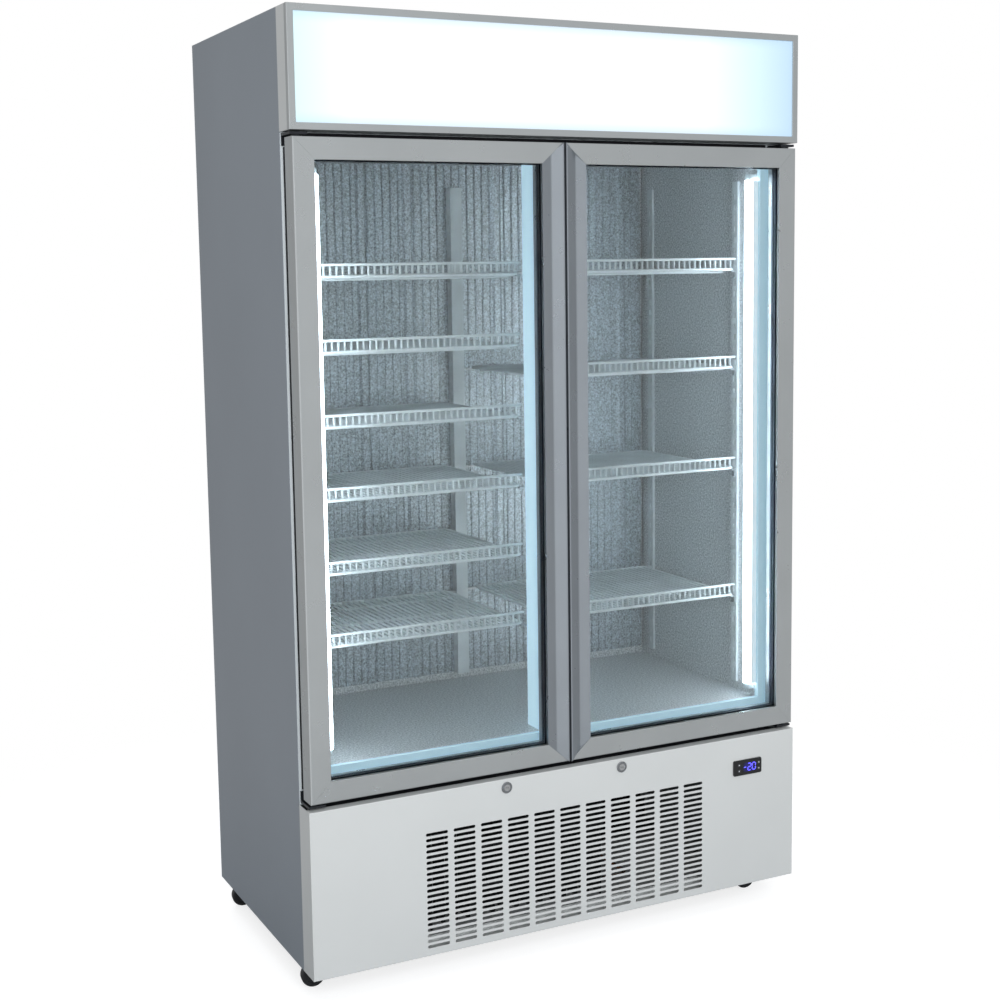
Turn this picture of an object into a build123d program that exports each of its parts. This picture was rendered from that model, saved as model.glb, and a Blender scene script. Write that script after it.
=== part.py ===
from build123d import *
import os

# A two-door upright glass door freezer, each piece a separate solid, in millimetres.
# Frame: +X to the right, +Y to the back, +Z up, origin on the floor under the middle of
# the outer box. Three planes set the depths: FRONT is the front of the doors, the light
# box and the lower panel, SEAL is the front of the insulated body and BACK is its rear.

# Outer body
WIDTH = 1200.0
HEIGHT = 2000.0
CARCASS_DEPTH = 580.0          # SEAL to BACK
FRONT_PROJECTION = 60.0        # FRONT to SEAL
SKIRT_GAP = 55.0               # floor to the lower edge of the sides and the lower panel
LOWER_PANEL_HEIGHT = 355.0
LIGHT_BOX_HEIGHT = 237.0
SHEET = 1.0                    # outer sheets and liner sheets
SIDE_WALL = 60.0               # outer sheet, foam and liner together
BACK_WALL = 70.0
FLOOR_WALL = 70.0
ROOF_WALL = 70.0
HEADER_WALL = 61.0             # insulated wall behind the light box
HEADER_DROP = 51.0             # how far the header hangs below the light box
TRIM_DEPTH = 12.0              # white plastic frame round the openings
MULLION_WIDTH = 70.0
MULLION_DEPTH = 70.0
MULLION_EDGE = 5.0
COVER_RISE = 28.0              # ceiling panel above the lower edge of the header

# Machine compartment
BASE_HEIGHT = 70.0             # floor to the underside of the base plate
BASE_PLATE = 2.0
BASE_FLANGE = 30.0
PANEL_SHEET = 1.5
PANEL_LEDGE = 22.0             # upper fold of the front panel
PANEL_EDGE = 1.2               # rounding of the folds
REAR_SLOT_LENGTH = 90.0
REAR_SLOT_WIDTH = 8.0
REAR_SLOT_PITCH = 20.0
REAR_SLOT_COLUMN_PITCH = 110.0
REAR_SLOT_ROWS = 10
REAR_SLOT_COLUMNS = 7
REAR_SLOTS_ABOVE_SKIRT = 90.0
GLAND_INSET = 130.0            # gland from the side of the cabinet
GLAND_ABOVE_SKIRT = 80.0
GLAND_RADIUS = 13.0
GLAND_BORE = 5.0
GLAND_FLANGE = 18.0
GLAND_PROUD = 8.0
GLAND_INSIDE = 14.0

# Front grille
SLOT_COLUMNS = 11
SLOT_ROWS = 21
SLOT_LENGTH = 51.0
SLOT_WIDTH = 7.0
SLOT_COLUMN_PITCH = 64.0
SLOT_ROW_PITCH = 12.2
SLOTS_ABOVE_SKIRT = 20.0       # lowest row above the lower edge of the panel

# Doors
DOOR_GAP_TOP = 12.0
DOOR_GAP_BOTTOM = 15.0
DOOR_INSET = 5.0               # door edge inside the side of the cabinet
MEETING_GAP = 5.0
DOOR_THICKNESS = 45.0
RAIL_WIDTH = 44.0
GRIP_WIDTH = 50.0
GRIP_CREASE = 26.0             # from the meeting edge to the bottom of the finger groove
GRIP_DEPTH = 5.5               # groove below the door front
GRIP_PROUD = 5.0               # lip in front of the door front
GRIP_NOSE = 3.0
GRIP_CREASE_RADIUS = 7.0
GRIP_NOSE_RADIUS = 1.4
RAIL_ROUND = 2.5
RAIL_BEAD = 1.0                # rounding at the glass edge
MITRE_GROOVE = 1.0             # fine groove along the mitre joints
GLASS_SET = 8.0                # frame front to the first pane
GLASS_LIP = 12.0               # frame over the edge of the glass
GLASS_EDGE_CLEAR = 0.5
PANE = 4.0
PANE_GAP = 6.0
PANES = 3
SPACER_SHOW = 2.0              # dark spacer seen inside the frame
GASKET_INSET = 16.0
GASKET_MEETING_INSET = 9.0
GASKET_WIDTH = 16.0
GASKET_NECK = 9.0
GASKET_BASE = 4.0
GASKET_MAGNET = 4.0
SEAL_CLEAR = 0.3

# Hinges
HINGE_INSET = 16.0             # pin axis from the outer edge of the door
HINGE_SETBACK = 22.0           # pin axis behind the door front
PIN_RADIUS = 5.0
PIN_CLEAR = 0.05
PIN_REACH = 20.0
PIN_HOLE_SPARE = 1.0
HINGE_PLATE = 5.0
HINGE_LEG = 3.0
HINGE_LEG_WIDTH = 15.0
HINGE_LEG_HEIGHT = 24.0
HINGE_ARM = 36.0
HINGE_EDGE = 3.0               # bracket inside the side of the cabinet
HINGE_FRONT = 9.0              # bracket behind the door front
WASHER_RADIUS = 10.0

# Light box
BEZEL = 14.0
BEZEL_FRONT = 3.0
BEZEL_DEPTH = 14.0
SIGN_THICKNESS = 3.0
SIGN_OVERLAP = 6.0
SIGN_CLEAR = 0.5
BOX_SHEET = 1.5
LAMP_RADIUS = 13.0
LAMP_END_GAP = 50.0             # lamp end to the side of the cabinet
LAMP_STANDOFF = 20.0           # lamp axis in front of the box's back plate
LAMP_SPACING = 110.0
LAMP_HOLDER = 16.0

# Locks
LOCK_LEFT_X = -155.0
LOCK_RIGHT_X = 131.0
LOCK_BELOW_PANEL_TOP = 19.0
LOCK_FLANGE = 12.5
LOCK_FLANGE_PROUD = 2.5
LOCK_BARREL = 9.0
LOCK_BARREL_LENGTH = 24.0
LOCK_NUT = 12.5
LOCK_NUT_THICKNESS = 4.0
LOCK_PLUG = 7.0
LOCK_PLUG_PROUD = 0.3
KEYWAY_LENGTH = 8.0
KEYWAY_WIDTH = 1.6
KEYWAY_DEPTH = 5.0
CAM_GAP = 0.8
CAM_THICKNESS = 3.0
CAM_WIDTH = 12.0
CAM_REACH = 42.0
CAM_CLEAR = 2.0
CAM_ENTRY = 10.0               # depth of the pocket in the bottom rail of the door

# Controller
CONTROL_INSET = 131.0           # middle of the controller from the side of the cabinet
CONTROL_ABOVE_SKIRT = 283.0
CONTROL_WIDTH = 78.0
CONTROL_HEIGHT = 36.0
CONTROL_PROUD = 3.0
CONTROL_CORNER = 4.0
CONTROL_BODY_INSET = 4.0
CONTROL_BODY_DEPTH = 50.0
CONTROL_CUT_CLEAR = 0.5
SCREEN_WIDTH = 38.0
SCREEN_HEIGHT = 22.0
SCREEN_SHIFT = 5.0
SCREEN_THICKNESS = 1.2
KEY_WIDTH = 7.0
KEY_HEIGHT = 6.0
KEY_LEFT = -24.0               # key columns from the middle of the controller
KEY_RIGHT = 31.0
KEY_RISE = 7.0
KEY_THICKNESS = 3.0
KEY_PROUD = 0.6
KEY_TRAVEL = 0.5
KEY_CLEAR = 0.2

# Interior
TUBE_HALF_WIDTH = 14.0         # door lamps on the side walls
TUBE_FLAT = 10.0
TUBE_BEHIND_SEAL = 22.0
TUBE_BELOW_HEADER = 29.0
TUBE_ABOVE_FLOOR = 32.0
TUBE_CLIP = 14.0
TUBE_CLIP_REACH = 20.0
PILASTER_WIDTH = 22.0
PILASTER_THICKNESS = 6.0
PILASTER_FRONT = 90.0          # behind SEAL
PILASTER_REAR_INSET = 26.0     # rear strip in front of the rear edge of the shelves
PILASTER_FOOT = 20.0
PILASTER_HEAD = 28.0
PILASTER_SLOT = 12.0
PILASTER_SLOT_WIDTH = 5.0
PILASTER_PITCH = 25.0
UPRIGHT_WIDTH = 30.0
UPRIGHT_DEPTH = 24.0
DUCT_STAND = 10.0              # ribbed rear panel in front of the liner
DUCT_SHEET = 1.2
DUCT_MARGIN = 10.0
DUCT_FOOT = 20.0
RIB_COUNT = 9
RIB_WIDTH = 26.0
RIB_FOOT = 6.0
RIB_RISE = 5.0

# Shelves: heights of the deck tops above the floor of the inside
LEFT_SHELVES = (231.0, 385.0, 540.0, 693.0, 848.0, 1003.0)
RIGHT_SHELVES = (235.0, 539.0, 777.0, 1005.0)
SHELF_OUTER_GAP = 9.0          # shelf side to the side wall
SHELF_INNER_GAP = 36.0         # shelf side to the middle of the cabinet
SHELF_FRONT = 80.0             # behind SEAL
SHELF_REAR_GAP = 9.0           # shelf to the ribs of the rear panel
SHELF_DECK = 5.0
SHELF_WIRE = 4.0
SHELF_PITCH = 14.3             # spacing of the wires, about
SHELF_SPANS = 3
SHELF_BORDER = 6.0
FENCE_HEIGHT = 25.0
FENCE_THICKNESS = 4.0
FENCE_RAIL = 4.0
CLIP_HEIGHT = 18.0
CLIP_DEPTH = 10.0
CLIP_TAB = 4.0
CLIP_PLATE = 3.0
CLIP_REACH_UNDER = 9.0         # support tab under the shelf

# Cold side: evaporator and its fans above the ceiling panel
EVAPORATOR_END_GAP = 110.0     # fins to the side wall
EVAPORATOR_DEPTH = 180.0
EVAPORATOR_HEIGHT = 130.0
EVAPORATOR_REAR_GAP = 50.0     # fins to the back wall
EVAPORATOR_LEGS = 20.0
EVAPORATOR_FINS = 27
FIN = 1.0
END_PLATE = 2.0
COIL_TUBE = 5.0
STUB = 16.0
EVAPORATOR_FAN_Y = 160.0       # behind SEAL
EVAPORATOR_FAN_TIP = 88.0
AIR_SLOT_LENGTH = 60.0
AIR_SLOT_WIDTH = 7.0
AIR_SLOT_PITCH = 15.0
AIR_SLOT_ROWS = 11
FAN_HUB = 24.0
FAN_HUB_HEIGHT = 22.0
FAN_BORE = 4.0
FAN_SHAFT_CLEAR = 0.05
FAN_BLADES = 5
FAN_CHORD = 46.0
FAN_BLADE = 2.5
FAN_PITCH = 24.0
FAN_GAP = 10.0                 # fan to its motor bar
MOTOR_RADIUS = 38.0
MOTOR_LENGTH = 42.0
MOTOR_BAR = 16.0
MOTOR_BAR_THICKNESS = 5.0
MOTOR_POST_GAP = 22.0          # post axis outside the blade tips

# Warm side: condensing unit on the base plate
CONDENSER_X = -90.0
CONDENSER_LENGTH = 420.0
CONDENSER_DEPTH = 60.0
CONDENSER_TOP_GAP = 64.0       # fins to the underside of the foamed body
CONDENSER_FRONT = 18.0         # behind SEAL
CONDENSER_FLANGE = 40.0        # end plates behind the fins, to carry the fan motor
CONDENSER_FINS = 15
CONDENSER_FOOT = 6.0
CONDENSER_FAN_TIP = 108.0
COMPRESSOR_INSET = 240.0       # axis from the side of the cabinet
COMPRESSOR_REAR = 200.0        # axis in front of BACK
COMPRESSOR_RADIUS = 78.0
COMPRESSOR_SHELL = 175.0
COMPRESSOR_DOME = 36.0
COMPRESSOR_FOOT = 12.0
COMPRESSOR_BASE = 4.0
COMPRESSOR_BASE_SIZE = 190.0
COMPRESSOR_GROMMET = 11.0
TERMINAL_BOX = (70.0, 34.0, 74.0)
PIPE_RADIUS = 4.0
PIPE_BEND = 24.0
DRIER_RADIUS = 11.0
DRIER_LENGTH = 110.0
PIPE_REAR = 40.0               # in front of BACK, where pipes rise into the foam
TRAY_SIZE = (220.0, 240.0, 45.0)
TRAY_WALL = 2.0
TRAY_INSET = 200.0             # middle from the side of the cabinet
TRAY_REAR = 160.0              # middle in front of BACK

# Casters
CASTER_INSET = 50.0            # swivel axis from the side of the cabinet
CASTER_FRONT = 38.0            # behind SEAL
CASTER_REAR = 60.0             # in front of BACK
CASTER_HEADING = 172.0         # which way the wheel trails, from +X
CASTER_TRAIL = 18.0
WHEEL_RADIUS = 25.0
WHEEL_WIDTH = 20.0
WHEEL_ROUND = 4.0
WHEEL_RECESS = 2.5
WHEEL_RIM = 17.0
WHEEL_BOSS = 8.0
AXLE_RADIUS = 4.0
AXLE_HEAD = 6.5
AXLE_HEAD_THICKNESS = 2.0
RUN_CLEAR = 0.05
FORK_GAP = 1.6                 # wheel side to fork cheek
FORK_CHEEK = 3.0
FORK_CROWN = 4.0
FORK_BOSS = 16.0
FORK_OVER_WHEEL = 8.0
STEM_RADIUS = 5.5
STEM_LENGTH = 22.0
STEM_SOCKET = 15.0
SWIVEL_GAP = 0.5

# Planes and levels worked out from the sizes above
HALF = WIDTH / 2
FRONT = GRIP_PROUD - (GRIP_PROUD + FRONT_PROJECTION + CARCASS_DEPTH + GLAND_PROUD) / 2
SEAL = FRONT + FRONT_PROJECTION
BACK = SEAL + CARCASS_DEPTH
PANEL_TOP = SKIRT_GAP + LOWER_PANEL_HEIGHT
LIGHT_BOX_Z = HEIGHT - LIGHT_BOX_HEIGHT
FLOOR_Z = PANEL_TOP + FLOOR_WALL
HEADER_Z = LIGHT_BOX_Z - HEADER_DROP
COVER_Z = HEADER_Z + COVER_RISE
ROOF_INSIDE_Z = HEIGHT - ROOF_WALL
INNER = HALF - SIDE_WALL
INNER_BACK = BACK - BACK_WALL
BASE_TOP = BASE_HEIGHT + BASE_PLATE
DOOR_BOTTOM = PANEL_TOP + DOOR_GAP_BOTTOM
DOOR_TOP = LIGHT_BOX_Z - DOOR_GAP_TOP
DOOR_OUTER = -HALF + DOOR_INSET
DOOR_INNER = -MEETING_GAP / 2
HINGE_X = DOOR_OUTER + HINGE_INSET
HINGE_Y = FRONT + HINGE_SETBACK
LOCK_Z = PANEL_TOP - LOCK_BELOW_PANEL_TOP
CAM_Y = FRONT + LOCK_BARREL_LENGTH + CAM_GAP
CONTROL_Z = SKIRT_GAP + CONTROL_ABOVE_SKIRT
CONTROL_X = HALF - CONTROL_INSET
GLAND_X = HALF - GLAND_INSET
LAMP_LENGTH = WIDTH - 2 * LAMP_END_GAP
SHELF_REAR_Y = INNER_BACK - DUCT_STAND - RIB_RISE - SHELF_REAR_GAP
PILASTER_ROWS = (SEAL + PILASTER_FRONT, SHELF_REAR_Y - PILASTER_REAR_INSET)
EVAPORATOR_LENGTH = 2 * (INNER - EVAPORATOR_END_GAP)
EVAPORATOR_FAN_X = (INNER + MULLION_WIDTH / 2) / 2
CONDENSER_HEIGHT = PANEL_TOP - CONDENSER_TOP_GAP - BASE_TOP - CONDENSER_FOOT
COMPRESSOR_X = HALF - COMPRESSOR_INSET
COMPRESSOR_Y = BACK - COMPRESSOR_REAR


def block(low, high):
    """Box from its lowest to its highest corner."""
    size = [b - a for a, b in zip(low, high)]
    return Pos(*low) * Box(*size, align=(Align.MIN, Align.MIN, Align.MIN))


def area(low, high):
    """Rectangle in a sketch, from corner to corner."""
    middle = [(a + b) / 2 for a, b in zip(low, high)]
    return Pos(*middle) * Rectangle(high[0] - low[0], high[1] - low[1])


def holed(outline, holes):
    """One face with the outline of a sketch and a hole for each sketch in a list."""
    return Face(outline.face().outer_wire(), [hole.face().outer_wire() for hole in holes])


def plate_xz(sketch, y, depth):
    """Sketch in X and Z, thickened from y towards the back."""
    return extrude(Plane.XZ.offset(-y) * sketch, amount=depth, dir=(0, 1, 0))


def plate_yz(sketch, x, width):
    """Sketch in Y and Z, thickened from x towards +X."""
    return extrude(Plane.YZ.offset(x) * sketch, amount=width, dir=(1, 0, 0))


def plate_xy(sketch, z, height):
    """Sketch in X and Y, thickened upwards from z."""
    return extrude(Pos(0, 0, z) * sketch, amount=height, dir=(0, 0, 1))


def rod_y(radius, x, y0, y1, z):
    """Round bar along Y."""
    return plate_xz(Pos(x, z) * Circle(radius), y0, y1 - y0)


def rod_x(radius, x0, x1, y, z):
    """Round bar along X."""
    return plate_yz(Pos(y, z) * Circle(radius), x0, x1 - x0)


def rounded(sketch, radius, *corners):
    """Sketch with the corners nearest to the given points rounded."""
    picked = [sketch.vertices().sort_by_distance((u, v, 0))[0] for u, v in corners]
    return fillet(picked, radius)


def mirrored(solid):
    """The same piece on the right half of the cabinet."""
    return mirror(solid, about=Plane.YZ)


def group(pieces):
    """Separate solids that share one node."""
    return Compound([solid for piece in pieces for solid in piece.solids()])


def grid(columns, column_pitch, rows, row_pitch):
    """Places of a pattern, centred across and counted upwards from its lowest row."""
    left = -(columns - 1) * column_pitch / 2
    return [(left + i * column_pitch, j * row_pitch) for i in range(columns) for j in range(rows)]


def side_panel():
    return block((-HALF, SEAL, SKIRT_GAP), (-HALF + SHEET, BACK, HEIGHT))


def top_panel():
    return block((-HALF + SHEET, SEAL, HEIGHT - SHEET), (HALF - SHEET, BACK, HEIGHT))


def back_panel():
    outline = area((-HALF + SHEET, SKIRT_GAP), (HALF - SHEET, HEIGHT - SHEET))
    places = grid(REAR_SLOT_COLUMNS, REAR_SLOT_COLUMN_PITCH, REAR_SLOT_ROWS, REAR_SLOT_PITCH)
    slots = [Pos(x, SKIRT_GAP + REAR_SLOTS_ABOVE_SKIRT + z) * SlotOverall(REAR_SLOT_LENGTH, REAR_SLOT_WIDTH)
             for x, z in places]
    gland_hole = Pos(GLAND_X, SKIRT_GAP + GLAND_ABOVE_SKIRT) * Circle(GLAND_RADIUS)
    return plate_xz(holed(outline, slots + [gland_hole]), BACK - SHEET, SHEET)


def cable_gland():
    z = SKIRT_GAP + GLAND_ABOVE_SKIRT
    inside = BACK - SHEET
    body = rod_y(GLAND_RADIUS, GLAND_X, inside - GLAND_INSIDE, BACK + GLAND_PROUD, z)
    flange = rod_y(GLAND_FLANGE, GLAND_X, BACK, BACK + GLAND_PROUD / 2, z)
    nut = rod_y(GLAND_FLANGE, GLAND_X, inside - GLAND_PROUD / 2, inside, z)
    bore = rod_y(GLAND_BORE, GLAND_X, inside - GLAND_INSIDE, BACK + GLAND_PROUD, z)
    return body + [flange, nut] - bore


def insulation_foam():
    """Foam slabs of the two sides, back, floor, roof and the wall behind the light box."""
    foam = SIDE_WALL - 2 * SHEET
    behind = SEAL + TRIM_DEPTH
    outer = HALF - SHEET
    liner = outer - foam
    top = HEIGHT - SHEET
    rear = BACK - SHEET
    inner_rear = INNER_BACK + SHEET
    left = block((-outer, behind, PANEL_TOP), (-liner, rear, top))
    right = mirrored(left)
    back = block((-liner, inner_rear, PANEL_TOP), (liner, rear, top))
    floor = block((-liner, behind, PANEL_TOP), (liner, inner_rear, FLOOR_Z - SHEET))
    roof = block((-liner, behind, ROOF_INSIDE_Z + SHEET), (liner, inner_rear, top))
    header = block((-INNER, behind, HEADER_Z + SHEET),
                   (INNER, SEAL + HEADER_WALL - SHEET, ROOF_INSIDE_Z))
    return group([left, right, back, floor, roof, header])


def inner_liner():
    """Embossed sheets that face the inside."""
    behind = SEAL + TRIM_DEPTH
    header_rear = SEAL + HEADER_WALL
    inner_rear = INNER_BACK + SHEET
    left = block((-INNER - SHEET, behind, FLOOR_Z - SHEET),
                 (-INNER, inner_rear, ROOF_INSIDE_Z + SHEET))
    back = block((-INNER, INNER_BACK, FLOOR_Z), (INNER, inner_rear, ROOF_INSIDE_Z))
    floor = block((-INNER, behind, FLOOR_Z - SHEET), (INNER, inner_rear, FLOOR_Z))
    roof = block((-INNER, behind, ROOF_INSIDE_Z), (INNER, inner_rear, ROOF_INSIDE_Z + SHEET))
    header = block((-INNER, header_rear - SHEET, HEADER_Z + SHEET),
                   (INNER, header_rear, ROOF_INSIDE_Z))
    under = block((-INNER, behind, HEADER_Z), (INNER, header_rear, HEADER_Z + SHEET))
    return group([left, mirrored(left), back, floor, roof, header, under])


def opening_trim():
    """White plastic jambs, sill and header that the door seals close on."""
    rear = SEAL + TRIM_DEPTH
    jamb = block((-HALF + SHEET, SEAL, PANEL_TOP), (-INNER, rear, HEIGHT - SHEET))
    sill = block((-INNER, SEAL, PANEL_TOP), (INNER, rear, FLOOR_Z))
    header = block((-INNER, SEAL, HEADER_Z), (INNER, rear, HEIGHT - SHEET))
    return group([jamb, mirrored(jamb), sill, header])


def centre_mullion():
    half = MULLION_WIDTH / 2
    section = area((-half, SEAL), (half, SEAL + MULLION_DEPTH))
    front_corners = [(-half, SEAL), (half, SEAL)]
    return plate_xy(rounded(section, MULLION_EDGE, *front_corners), FLOOR_Z, HEADER_Z - FLOOR_Z)


def base_frame():
    """Base plate with turned-up edges and four sockets for the caster stems."""
    edge = HALF - SHEET
    rear = BACK - SHEET
    plate = block((-edge, SEAL, BASE_HEIGHT), (edge, rear, BASE_TOP))
    flange_top = BASE_TOP + BASE_FLANGE
    side = block((-edge, SEAL, BASE_TOP), (-edge + BASE_PLATE, rear, flange_top))
    back = block((-edge, rear - BASE_PLATE, BASE_TOP), (edge, rear, flange_top))
    sockets = [plate_xy(Pos(x, y) * Circle(STEM_SOCKET), BASE_TOP, STEM_LENGTH)
               for x, y in caster_places()]
    holes = [plate_xy(Pos(x, y) * Circle(STEM_RADIUS + RUN_CLEAR), BASE_HEIGHT, BASE_PLATE + STEM_LENGTH)
             for x, y in caster_places()]
    return plate + [side, mirrored(side), back] + sockets - holes


def caster_places():
    """Swivel axes, left to right and front to back."""
    x = HALF - CASTER_INSET
    rows = (SEAL + CASTER_FRONT, BACK - CASTER_REAR)
    return [(side * x, y) for y in rows for side in (-1, 1)]


def caster_fork():
    """Fork with its stem on the Z axis and its axle behind it along +X."""
    inside = WHEEL_WIDTH / 2 + FORK_GAP
    outside = inside + FORK_CHEEK
    crown_z = 2 * WHEEL_RADIUS + FORK_OVER_WHEEL
    front = -FORK_BOSS
    rear = CASTER_TRAIL + AXLE_HEAD
    cheek_outline = Polygon((front, crown_z), (rear, crown_z), (rear, WHEEL_RADIUS),
                            (CASTER_TRAIL - AXLE_HEAD, WHEEL_RADIUS), align=None)
    cheek_end = Pos(CASTER_TRAIL, WHEEL_RADIUS) * Circle(AXLE_HEAD)
    cheek = plate_xz(cheek_outline + cheek_end, inside, FORK_CHEEK)
    other_cheek = mirror(cheek, about=Plane.XZ)
    crown = block((front, -outside, crown_z), (rear, outside, crown_z + FORK_CROWN))
    boss_z = crown_z + FORK_CROWN
    boss = plate_xy(Circle(FORK_BOSS), boss_z, BASE_HEIGHT - SWIVEL_GAP - boss_z)
    stem_bottom = BASE_HEIGHT - SWIVEL_GAP
    stem = plate_xy(Circle(STEM_RADIUS), stem_bottom, SWIVEL_GAP + BASE_PLATE + STEM_LENGTH)
    axle = rod_y(AXLE_RADIUS, CASTER_TRAIL, -outside, outside, WHEEL_RADIUS)
    heads = [rod_y(AXLE_HEAD, CASTER_TRAIL, y, y + AXLE_HEAD_THICKNESS, WHEEL_RADIUS)
             for y in (-outside - AXLE_HEAD_THICKNESS, outside)]
    return cheek + [other_cheek, crown, boss, stem, axle] + heads


def caster_wheel():
    """Wheel on the fork's axle, with a dished face on each side."""
    half = WHEEL_WIDTH / 2
    hub = half + FORK_GAP - RUN_CLEAR * 4
    tyre = rod_y(WHEEL_RADIUS, 0, -half, half, 0)
    tyre = fillet(tyre.edges(), WHEEL_ROUND)
    ring = Circle(WHEEL_RIM) - Circle(WHEEL_BOSS)
    dishes = [plate_xz(ring, y, WHEEL_RECESS) for y in (-half, half - WHEEL_RECESS)]
    boss = rod_y(WHEEL_BOSS, 0, -hub, hub, 0)
    bore = rod_y(AXLE_RADIUS + RUN_CLEAR, 0, -hub, hub, 0)
    return Pos(CASTER_TRAIL, 0, WHEEL_RADIUS) * (tyre - dishes + boss - bore)


def grille_panel():
    """Folded front panel with its rows of air slots and cut-outs for lock and controller."""
    outline = area((-HALF, SKIRT_GAP), (HALF, PANEL_TOP))
    places = grid(SLOT_COLUMNS, SLOT_COLUMN_PITCH, SLOT_ROWS, SLOT_ROW_PITCH)
    slots = [Pos(x, SKIRT_GAP + SLOTS_ABOVE_SKIRT + z) * SlotOverall(SLOT_LENGTH, SLOT_WIDTH)
             for x, z in places]
    lock_holes = [Pos(x, LOCK_Z) * Circle(LOCK_BARREL) for x in (LOCK_LEFT_X, LOCK_RIGHT_X)]
    body = 2 * (CONTROL_BODY_INSET - CONTROL_CUT_CLEAR)
    control_hole = Pos(CONTROL_X, CONTROL_Z) * Rectangle(CONTROL_WIDTH - body, CONTROL_HEIGHT - body)
    face = plate_xz(holed(outline, slots + lock_holes + [control_hole]), FRONT, PANEL_SHEET)
    inside = FRONT + PANEL_SHEET
    side = block((-HALF, inside, SKIRT_GAP), (-HALF + PANEL_SHEET, SEAL, PANEL_TOP))
    edge = HALF - PANEL_SHEET
    ledge = block((-edge, inside, PANEL_TOP - PANEL_SHEET), (edge, FRONT + PANEL_LEDGE, PANEL_TOP))
    lower = block((-edge, inside, SKIRT_GAP), (edge, SEAL, SKIRT_GAP + PANEL_SHEET))
    lip = block((-edge, SEAL - PANEL_SHEET, SKIRT_GAP), (edge, SEAL, BASE_TOP))
    panel = face + [side, mirrored(side), ledge, lower, lip]
    front_edges = panel.edges().filter_by_position(Axis.Y, FRONT, FRONT)
    outer = [edge for edge in front_edges if edge.length > LOWER_PANEL_HEIGHT / 2]
    return fillet(outer, PANEL_EDGE)


def lock_housing(x):
    """Fixed lock barrel with its front ring and the nut behind the panel."""
    front = FRONT - LOCK_FLANGE_PROUD
    rear = FRONT + LOCK_BARREL_LENGTH
    ring = rod_y(LOCK_FLANGE, x, front, FRONT, LOCK_Z)
    ring = chamfer(ring.edges().group_by(Axis.Y)[0], LOCK_FLANGE_PROUD / 3)
    barrel = rod_y(LOCK_BARREL, x, FRONT, rear, LOCK_Z)
    inside = FRONT + PANEL_SHEET
    nut_outline = Pos(x, LOCK_Z) * RegularPolygon(LOCK_NUT, 6)
    nut = plate_xz(nut_outline, inside, LOCK_NUT_THICKNESS)
    bore = rod_y(LOCK_PLUG + RUN_CLEAR, x, front, rear, LOCK_Z)
    return ring + [barrel, nut] - bore


def lock_plug(x, towards):
    """Turning plug with its keyway, and the cam on its rear end, unlocked."""
    front = FRONT - LOCK_FLANGE_PROUD - LOCK_PLUG_PROUD
    plug = rod_y(LOCK_PLUG, x, front, CAM_Y + CAM_THICKNESS, LOCK_Z)
    keyway = plate_xz(Pos(x, LOCK_Z) * Rectangle(KEYWAY_LENGTH, KEYWAY_WIDTH), front, KEYWAY_DEPTH)
    end = CAM_REACH - CAM_WIDTH / 2
    bar = Pos(x + towards * end / 2, LOCK_Z) * Rectangle(end, CAM_WIDTH)
    tip = Pos(x + towards * end, LOCK_Z) * Circle(CAM_WIDTH / 2)
    root = Pos(x, LOCK_Z) * Circle(CAM_WIDTH / 2)
    return plug - keyway + plate_xz(bar + [tip, root], CAM_Y, CAM_THICKNESS)


def key_places():
    return [(CONTROL_X + x, CONTROL_Z + z) for x in (KEY_LEFT, KEY_RIGHT) for z in (KEY_RISE, -KEY_RISE)]


def controller_case():
    """Bezel and body of the temperature controller, with a screen recess and key wells."""
    front = FRONT - CONTROL_PROUD
    bezel_outline = Pos(CONTROL_X, CONTROL_Z) * RectangleRounded(CONTROL_WIDTH, CONTROL_HEIGHT, CONTROL_CORNER)
    bezel = plate_xz(bezel_outline, front, CONTROL_PROUD)
    body_outline = Pos(CONTROL_X, CONTROL_Z) * Rectangle(
        CONTROL_WIDTH - 2 * CONTROL_BODY_INSET, CONTROL_HEIGHT - 2 * CONTROL_BODY_INSET)
    body = plate_xz(body_outline, FRONT, CONTROL_BODY_DEPTH)
    screen = plate_xz(screen_outline(), front, SCREEN_THICKNESS)
    well_depth = KEY_THICKNESS - KEY_PROUD + KEY_TRAVEL + KEY_CLEAR
    wells = [plate_xz(Pos(x, z) * Rectangle(KEY_WIDTH + 2 * KEY_CLEAR, KEY_HEIGHT + 2 * KEY_CLEAR),
                      front, well_depth)
             for x, z in key_places()]
    return bezel + body - [screen] - wells


def screen_outline():
    return Pos(CONTROL_X + SCREEN_SHIFT, CONTROL_Z) * Rectangle(SCREEN_WIDTH, SCREEN_HEIGHT)


def controller_screen():
    return plate_xz(screen_outline(), FRONT - CONTROL_PROUD, SCREEN_THICKNESS)


def controller_key(x, z):
    front = FRONT - CONTROL_PROUD - KEY_PROUD
    key = plate_xz(Pos(x, z) * Rectangle(KEY_WIDTH, KEY_HEIGHT), front, KEY_THICKNESS)
    return chamfer(key.faces().sort_by(Axis.Y)[0].edges(), KEY_PROUD / 2)


def light_box_housing():
    """Tray of the light box, open to the front."""
    front = FRONT + BEZEL_DEPTH
    outer = block((-HALF, front, LIGHT_BOX_Z), (HALF, SEAL, HEIGHT))
    inner = block((-HALF + BOX_SHEET, front, LIGHT_BOX_Z + BOX_SHEET),
                  (HALF - BOX_SHEET, SEAL - BOX_SHEET, HEIGHT - BOX_SHEET))
    return outer - inner


def light_box_frame():
    """Bezel with a rebate for the lit panel."""
    outline = area((-HALF, LIGHT_BOX_Z), (HALF, HEIGHT))
    rim = plate_xz(holed(outline, [sign_area(0)]), FRONT, BEZEL_FRONT)
    rebate = plate_xz(holed(outline, [sign_area(SIGN_OVERLAP)]), FRONT + BEZEL_FRONT, BEZEL_DEPTH - BEZEL_FRONT)
    frame = rim + rebate
    front_edges = frame.edges().filter_by_position(Axis.Y, FRONT, FRONT)
    return fillet(front_edges, PANEL_EDGE)


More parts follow.
